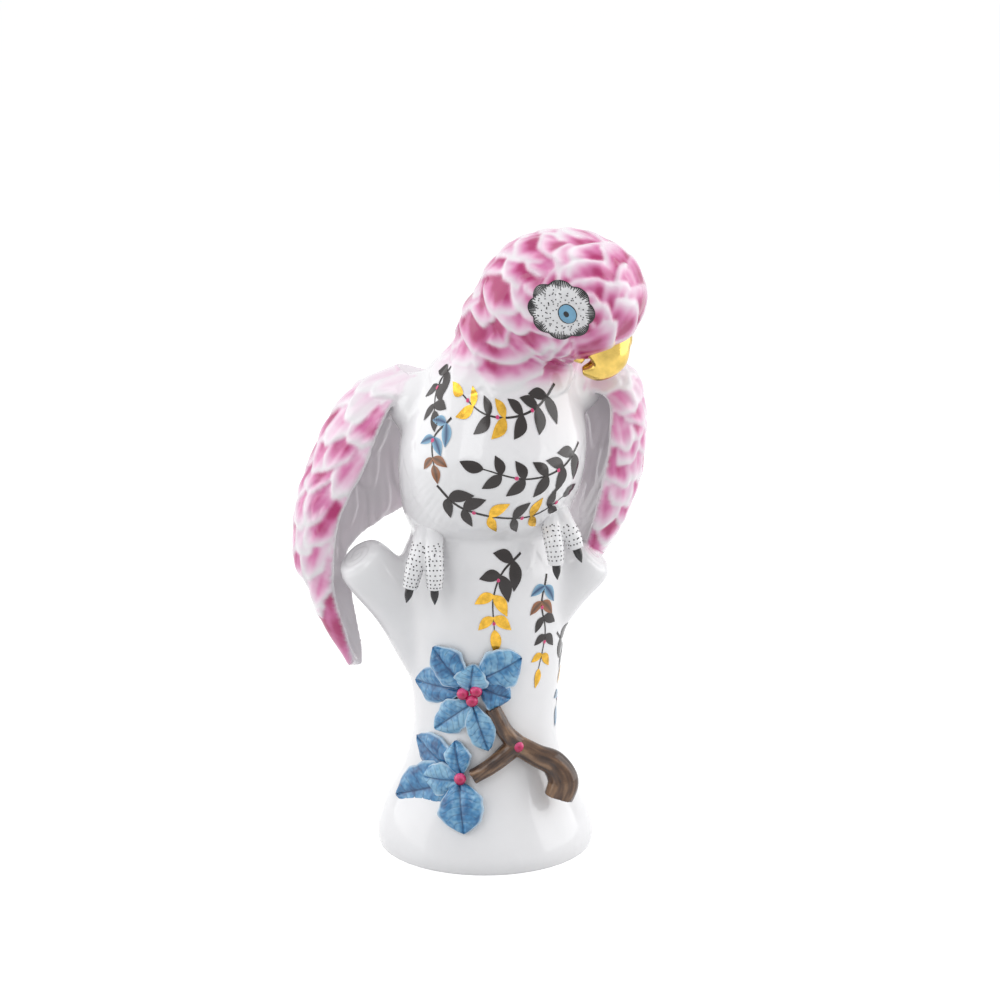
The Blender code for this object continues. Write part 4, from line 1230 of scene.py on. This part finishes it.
def unbroken(places, flat):
    """Whether a laid pattern stays on one surface, without a jump to another behind it."""
    step = np.linalg.norm(np.diff(places, axis=0), axis=1)
    drawn = np.linalg.norm(np.diff(flat, axis=0), axis=1)
    return bool(np.all(step < 4 * drawn + 0.0005))


def sprig_leaf(base, angle, length, width, bend):
    """A slim pointed leaf drawn flat."""
    rows, columns = 13, 5
    u = np.linspace(0, 1, rows)[:, None]
    v = np.linspace(-1, 1, columns)[None, :]
    half = width / 2 * np.maximum(np.sin(math.pi * u**0.8) ** 0.9, 0.05)
    x = length * u + 0 * v
    y = half * v + bend * length * np.sin(math.pi * u)
    flat = np.stack([x, y], -1).reshape(-1, 2) @ flat_turn(angle) + base
    return flat, grid_faces(rows, columns), np.abs(np.broadcast_to(v, (rows, columns))).reshape(-1)


def sprig_stem(path, width):
    """A thin stem drawn flat along a path, tapering to its end."""
    rows = smooth_rows(path, 46)
    tangents = tangents_along(rows)
    side = np.stack([-tangents[:, 1], tangents[:, 0]], -1)
    half = width / 2 * np.linspace(1.25, 0.55, len(rows))[:, None, None]
    v = np.array([-1.0, 0.0, 1.0])[None, :, None]
    flat = (rows[:, None, :] + side[:, None, :] * half * v).reshape(-1, 2)
    return flat, grid_faces(len(rows), 3), rows, tangents


def draw_sprig(tree, azimuth, radius, path, pairs, size, kinds, out):
    """A stem with opposite leaf pairs, a leaf at its end and small berries between the pairs."""
    flat, faces, rows, tangents = sprig_stem(path, STEM_WIDTH)
    places = lay_on(tree, azimuth, flat, 1, radius)
    if places is not None and unbroken(places[::3], flat[::3]):
        out.setdefault("dark", []).append((places, faces, np.zeros(len(places))))
    shares = np.linspace(0.14, 0.88, pairs)
    leaves = []
    for number, share in enumerate(shares):
        i = int(share * (len(rows) - 1))
        heading = math.atan2(tangents[i, 1], tangents[i, 0])
        kind = kinds[number % len(kinds)]
        scale = size * (1.08 - 0.26 * share)
        for side in (-1, 1):
            spread = side * (0.92 + 0.10 * math.sin(5.0 * number + side))
            leaves.append((rows[i], heading + spread, scale * (1.0 + 0.08 * side), kind, side * 0.06))
        if number % 2:
            bud = rows[min(i + 3, len(rows) - 1)]
            out.setdefault("buds", []).append((azimuth, radius, bud))
    heading = math.atan2(tangents[-1, 1], tangents[-1, 0])
    leaves.append((rows[-1], heading, size * 0.95, kinds[-1], 0.05))
    for base, angle, length, kind, bend in leaves:
        flat, faces, rim = sprig_leaf(base, angle, length, length * LEAF_BREADTH, bend)
        places = lay_on(tree, azimuth, flat, 2, radius)
        if places is not None and unbroken(places[2::5], flat[2::5]):
            out.setdefault(kind, []).append((places, faces, rim))


# Each sprig: azimuth, radius it is wrapped at, path, leaf pairs, leaf length and kinds of leaf by
# turns, the path and length in tenths of a millimetre
BREAST, BOLE = 0.0375, 0.0310
SPRIGS = (
    (0, BREAST, ((330, 2000), (230, 1925), (100, 1890), (-30, 1900), (-160, 1965)),
     6, 98, ("dark", "dark", "dark", "gold", "dark", "gold")),
    (0, BREAST, ((-190, 1880), (-250, 1800), (-225, 1700)), 3, 80, ("blue", "blue", "brown")),
    (0, BREAST, ((400, 1760), (280, 1680), (130, 1655), (-30, 1700)),
     5, 98, ("dark", "dark", "dark", "dark", "dark")),
    (0, BREAST, ((-210, 1620), (-120, 1535), (40, 1490), (190, 1490), (320, 1550)),
     6, 92, ("dark", "dark", "gold", "dark", "gold", "dark")),
    (0, BOLE, ((150, 1310), (50, 1240), (5, 1130), (10, 1000)), 4, 112, ("dark", "dark", "gold", "gold")),
    (28, BOLE, ((130, 1210), (100, 1090), (130, 960), (100, 810)),
     5, 88, ("blue", "brown", "dark", "dark", "gold")),
    (-32, BOLE, ((-40, 880), (-60, 780), (-10, 660)), 3, 86, ("dark", "gold", "dark")),
    (-50, BREAST, ((20, 2060), (-20, 1985), (30, 1895)), 3, 90, ("dark", "dark", "dark")),
    (90, BOLE, ((-110, 940), (-10, 850), (30, 730), (-20, 600)), 4, 95, ("dark", "dark", "gold", "blue")),
    (180, BREAST, ((-130, 1980), (-40, 1900), (60, 1830), (80, 1700)), 4, 98, ("dark", "dark", "gold")),
    (180, BREAST, ((120, 1660), (10, 1590), (-90, 1540)), 3, 90, ("blue", "dark")),
    (128, BOLE, ((40, 1040), (-20, 920), (10, 760), (-30, 610)),
     5, 92, ("dark", "gold", "dark", "brown", "dark")),
    (-128, BOLE, ((-20, 980), (30, 860), (-10, 710), (30, 580)), 5, 92, ("dark", "dark", "blue", "gold")),
)


def patch_reach(angle):
    """How far the eye patch reaches at an angle, as a share of its half axes, with shallow scallops."""
    return 0.90 + 0.12 * abs(math.sin(PATCH_SCALLOPS * angle / 2)) ** 0.8 + 0.04 * math.sin(angle + 0.9)


def full_reach(_):
    """The reach of a plain round patch, the same at each angle."""
    return 1.0


def round_patch(
    tree, azimuth, centre, halves, tilt, layer,
    rings=10, around=48, inner=0.0, reach=full_reach, wrap=None,
):
    """A round or ring of paint laid on the skin, and how far out each of its points lies."""
    shares = np.linspace(inner, 1, rings)
    ring = np.array([
        (s * reach(a) * halves[0] * math.cos(a), s * reach(a) * halves[1] * math.sin(a))
        for s in shares
        for a in round_angles(around)
    ])
    places = lay_on(tree, azimuth, ring @ flat_turn(tilt) + centre, layer, wrap)
    faces = [(a, d, c, b) for a, b, c, d in ring_faces(rings, around)]
    return places, faces, np.repeat(shares, around)


def eye_paint(tree, azimuth, out):
    """A pale bare patch with fine specks and short strokes round a blue eye."""
    mirror = 1 if azimuth == 0 else -1
    place = head_point(0, EYE_LEAN)
    centre = np.array([mirror * place[0], place[2]])
    shift, share = (-0.0028, 1.0) if azimuth == 0 else (0.0034, 0.82)
    patch_centre = centre + np.array([shift * mirror, 0.0012])
    tilt = -0.45 * mirror
    turn = flat_turn(tilt)
    long, short = PATCH_LONG * share, PATCH_SHORT * share

    def add(kind, piece):
        if piece[0] is not None:
            out.setdefault(kind, []).append(piece)

    add("patch", round_patch(
        tree, azimuth, patch_centre, (long, short), tilt, 1, rings=16, around=90, reach=patch_reach
    ))
    add("ink", round_patch(
        tree, azimuth, patch_centre, (long * 1.01, short * 1.01), tilt, 2, 3, 90, 0.965, patch_reach
    ))
    for k in range(PATCH_STROKES):
        angle = 2 * math.pi * (k + 0.25 * math.sin(7.0 * k)) / PATCH_STROKES
        out_to = patch_reach(angle)
        depth = 0.05 + 0.20 * abs(math.sin(PATCH_SCALLOPS * angle / 2)) ** 1.5 + 0.05 * math.sin(9.7 * k)
        ends = np.array([
            (s * long * math.cos(angle), s * short * math.sin(angle)) for s in (out_to, out_to - depth)
        ]) @ turn + patch_centre
        flat, faces, _, _ = sprig_stem(np.array([ends[0], ends.mean(0), ends[1]]), 0.00046)
        add("ink", (lay_on(tree, azimuth, flat, 2), faces, np.zeros(len(flat))))
    golden = math.pi * (3 - math.sqrt(5))
    for k in range(3, PATCH_SPECKS):
        reach = 0.74 * math.sqrt(k / PATCH_SPECKS)
        around = k * golden + 0.35 * math.sin(4.7 * k)
        reach += 0.03 * math.sin(6.1 * k)
        at = np.array([reach * long * math.cos(around), reach * short * math.sin(around)])
        at = at @ turn + patch_centre
        if np.linalg.norm(at - centre) > 0.0044:
            add("ink", round_patch(tree, azimuth, at, (SPECK_RADIUS, SPECK_RADIUS), 0, 2, rings=2, around=8))
    eye_tilt = -0.95 * mirror
    add("ink", round_patch(tree, azimuth, centre, EYE_LINE, eye_tilt, 2, around=40))
    add("iris", round_patch(tree, azimuth, centre, IRIS_HALVES, eye_tilt, 3, around=40))
    pupil = centre + np.array([-0.0005 * mirror, 0.0])
    add("ink", round_patch(tree, azimuth, pupil, PUPIL_HALVES, eye_tilt, 4, rings=5, around=28))


# Materials


def node_tree(holder):
    """The nodes and links of a material or world."""
    holder.use_nodes = True
    return holder.node_tree.nodes, holder.node_tree.links


def set_inputs(node, values):
    """Sets a node's inputs by name."""
    for name, value in values.items():
        node.inputs[name].default_value = value


def new_glaze(
    name, colour=None, metallic=0.0, roughness=0.10, blotch=0.03, blotch_size=0.012, peel=0.06
):
    """A glossy fired glaze with soft clouds in its colour, uneven gloss and a faint orange peel."""
    material = bpy.data.materials.new(name)
    nodes, links = node_tree(material)
    shader = nodes["Principled BSDF"]
    set_inputs(shader, {"Metallic": metallic, "IOR": 1.52})
    place = nodes.new("ShaderNodeTexCoord").outputs["Object"]

    def clouds(size, detail):
        node = nodes.new("ShaderNodeTexNoise")
        set_inputs(node, {"Scale": 1 / size, "Detail": detail})
        links.new(place, node.inputs["Vector"])
        return node.outputs["Fac"]

    def spread(value, low, high):
        node = nodes.new("ShaderNodeMapRange")
        set_inputs(node, {"From Min": 0.3, "From Max": 0.7, "To Min": low, "To Max": high})
        links.new(value, node.inputs["Value"])
        return node.outputs["Result"]

    tone = nodes.new("ShaderNodeMix")
    tone.data_type = "RGBA"
    tone.blend_type = "MULTIPLY"
    tone.inputs["Factor"].default_value = 1.0
    if colour is None:
        paint = nodes.new("ShaderNodeAttribute")
        paint.attribute_name = "paint"
        links.new(paint.outputs["Color"], tone.inputs["A"])
    else:
        tone.inputs["A"].default_value = (*colour, 1)
    links.new(spread(clouds(blotch_size, 4.0), 1 - blotch, 1.0), tone.inputs["B"])
    links.new(tone.outputs["Result"], shader.inputs["Base Color"])
    gloss = spread(clouds(0.0035, 3.0), 0.75 * roughness, 1.3 * roughness)
    links.new(gloss, shader.inputs["Roughness"])
    bump = nodes.new("ShaderNodeBump")
    set_inputs(bump, {"Strength": peel, "Distance": 0.0002})
    links.new(clouds(0.0022, 2.0), bump.inputs["Height"])
    links.new(bump.outputs["Normal"], shader.inputs["Normal"])
    return material


def seen_directly(nodes, links):
    """1 where the background is seen by the camera or in a reflection, 0 where it only lights."""
    path = nodes.new("ShaderNodeLightPath")
    either = nodes.new("ShaderNodeMath")
    either.operation = "MAXIMUM"
    links.new(path.outputs["Is Camera Ray"], either.inputs[0])
    links.new(path.outputs["Is Glossy Ray"], either.inputs[1])
    return either.outputs["Value"]


# The figurine

PORCELAIN = new_glaze("painted_porcelain")
PIGMENT = new_glaze("printed_enamel", roughness=0.10, blotch=0.12, blotch_size=0.0022, peel=0.03)
FOLIAGE = new_glaze("blue_foliage_glaze", roughness=0.09, blotch=0.14, blotch_size=0.0016, peel=0.16)
BARK = new_glaze("brown_twig_glaze", roughness=0.12, blotch=0.20, blotch_size=0.0014, peel=0.25)
FRUIT = new_glaze("berry_glaze", roughness=0.06, blotch=0.12, blotch_size=0.0012, peel=0.05)
WHITE_GLAZE = new_glaze("white_glaze", WHITE)
CLAW = new_glaze("black_enamel", INK, blotch=0.25, blotch_size=0.0015)
LUSTRE = new_glaze("gold_lustre", GOLD, 0.95, 0.18, 0.26, 0.004, 0.20)
GILDING = new_glaze("leaf_gilding", LEAF_GOLD, 1.0, 0.22, 0.40, 0.0022, 0.30)
BISQUE = new_glaze("raw_bisque", RAW_CLAY, 0.0, 0.75, 0.08, 0.004, 0.5)

skin_points, skin_normals, skin_faces, skin_colours = figurine_skin()
lay_skin(skin_points, skin_normals, skin_faces, skin_colours, PORCELAIN)
finish_piece("inner_wall", hollow(), BISQUE)
finish_piece("underside", underside(), BISQUE)

toes = fused([toe(points) for points in TOES], SMALL_VOXEL, 5)
toe_points, toe_faces = as_form(toes)
toe_tree = BVHTree.FromPolygons(toe_points.tolist(), toe_faces)
finish_piece("toe_dots", mesh_from(toe_dots(toe_tree), "toe_dots"), CLAW)
finish_piece("toes", toes, WHITE_GLAZE)
finish_piece("claws", mesh_from([claw(points) for points in TOES], "claws"), CLAW)
finish_piece("beak", fused([upper_beak()], SMALL_VOXEL, 3), LUSTRE)
finish_piece("mandible", fused([lower_beak()], SMALL_VOXEL, 3), LUSTRE)
finish_piece("twig", twig_skin(), BARK)
leaf_forms = [leaf(number, *row) for number, row in enumerate(LEAVES)]
finish_piece("leaves", painted_mesh("leaves", leaf_forms), FOLIAGE)
finish_piece("berries", painted_mesh("berries", [berry(*row) for row in BERRIES]), FRUIT)

skin_tree = BVHTree.FromPolygons(skin_points.tolist(), skin_faces.tolist())
prints = {}
for azimuth, radius, path, pairs, size, kinds in SPRIGS:
    path, size = np.array(path) / TENTHS, size / TENTHS
    draw_sprig(skin_tree, azimuth, radius, path, pairs, size, kinds, prints)
for azimuth in (0, 180):
    eye_paint(skin_tree, azimuth, prints)
for azimuth, radius, bud in prints.pop("buds", []):
    piece = round_patch(
        skin_tree, azimuth, bud, (BUD_RADIUS, BUD_RADIUS), 0, 3, rings=4, around=14, wrap=radius
    )
    if piece[0] is not None:
        prints.setdefault("bud", []).append(piece)

PRINT_COLOURS = {
    "dark": (PRINT_DARK, 1.35 * PRINT_DARK),
    "blue": (LEAF_VEIN, LEAF_LIGHT),
    "brown": (TWIG_BROWN, AUTUMN),
    "bud": (BERRY, BERRY_LIGHT),
    "ink": (INK, INK),
    "iris": (IRIS, 0.8 * IRIS),
    "patch": (WHITE, WHITE),
}
gilded = [(places, faces) for places, faces, _ in prints.pop("gold", [])]
coloured = []
for kind, forms in prints.items():
    near, far = PRINT_COLOURS[kind]
    for places, faces, share in forms:
        mix = np.asarray(share, float)[:, None]
        coloured.append((places, faces, near * (1 - mix) + far * mix))
finish_piece("printed_decor", painted_mesh("printed_decor", coloured), PIGMENT)
finish_piece("gilded_leaves", mesh_from(gilded, "gilded_leaves"), GILDING)


# Camera, light and ground

camera = bpy.data.objects.new("camera", bpy.data.cameras.new("camera"))
camera.data.lens = 96.588
camera.data.sensor_width = 36
camera.data.clip_start = 0.01
camera.location = (0.00615, -1.06733, 0.41252)
camera.rotation_euler = (math.radians(76), 0, 0)
bpy.context.scene.collection.objects.link(camera)
bpy.context.scene.camera = camera

for name, place, size, power in (
    ("key_light", (-0.55, -0.95, 0.95), 0.60, 2.2),
    ("left_light", (-1.15, 0.05, 0.40), 1.30, 7.0),
    ("right_light", (1.15, 0.02, 0.40), 1.30, 9.0),
    ("top_light", (0.05, 0.10, 1.25), 0.80, 3.2),
):
    light = bpy.data.lights.new(name, "AREA")
    light.size = size
    light.energy = power
    lamp = bpy.data.objects.new(name, light)
    lamp.location = place
    lamp.rotation_euler = (Vector((0, 0, 0.14)) - Vector(place)).to_track_quat("-Z", "Y").to_euler()
    bpy.context.scene.collection.objects.link(lamp)


world = bpy.data.worlds.new("studio")
bpy.context.scene.world = world
world_nodes, world_links = node_tree(world)
surround = world_nodes["Background"]
set_inputs(surround, {"Color": (0.96, 0.98, 1.0, 1), "Strength": 0.64})
plain = world_nodes.new("ShaderNodeBackground")
set_inputs(plain, {"Color": (1, 1, 1, 1), "Strength": 1.0})
chooser = world_nodes.new("ShaderNodeMixShader")
world_links.new(seen_directly(world_nodes, world_links), chooser.inputs["Fac"])
world_links.new(surround.outputs["Background"], chooser.inputs[1])
world_links.new(plain.outputs["Background"], chooser.inputs[2])
world_links.new(chooser.outputs["Shader"], world_nodes["World Output"].inputs["Surface"])

floor_mesh = bpy.data.meshes.new("floor")
FLOOR_REACH = 6.0
corners = [(x * FLOOR_REACH, y * FLOOR_REACH, 0) for x, y in ((-1, -1), (1, -1), (1, 1), (-1, 1))]
floor_mesh.from_pydata(corners, [], [(0, 1, 2, 3)])
floor = add_object("floor", floor_mesh)
paper = bpy.data.materials.new("white_paper")
paper_nodes, paper_links = node_tree(paper)
paper_shader = paper_nodes["Principled BSDF"]
set_inputs(paper_shader, {
    "Base Color": (0.62, 0.62, 0.62, 1),
    "Roughness": 0.9,
    "Specular IOR Level": 0.0,
    "Emission Color": (1, 1, 1, 1),
})
glow = paper_nodes.new("ShaderNodeMath")
glow.operation = "MULTIPLY"
glow.inputs[1].default_value = 0.62
paper_links.new(seen_directly(paper_nodes, paper_links), glow.inputs[0])
paper_links.new(glow.outputs["Value"], paper_shader.inputs["Emission Strength"])
floor_mesh.materials.append(paper)
bpy.context.scene.view_settings.view_transform = "Standard"
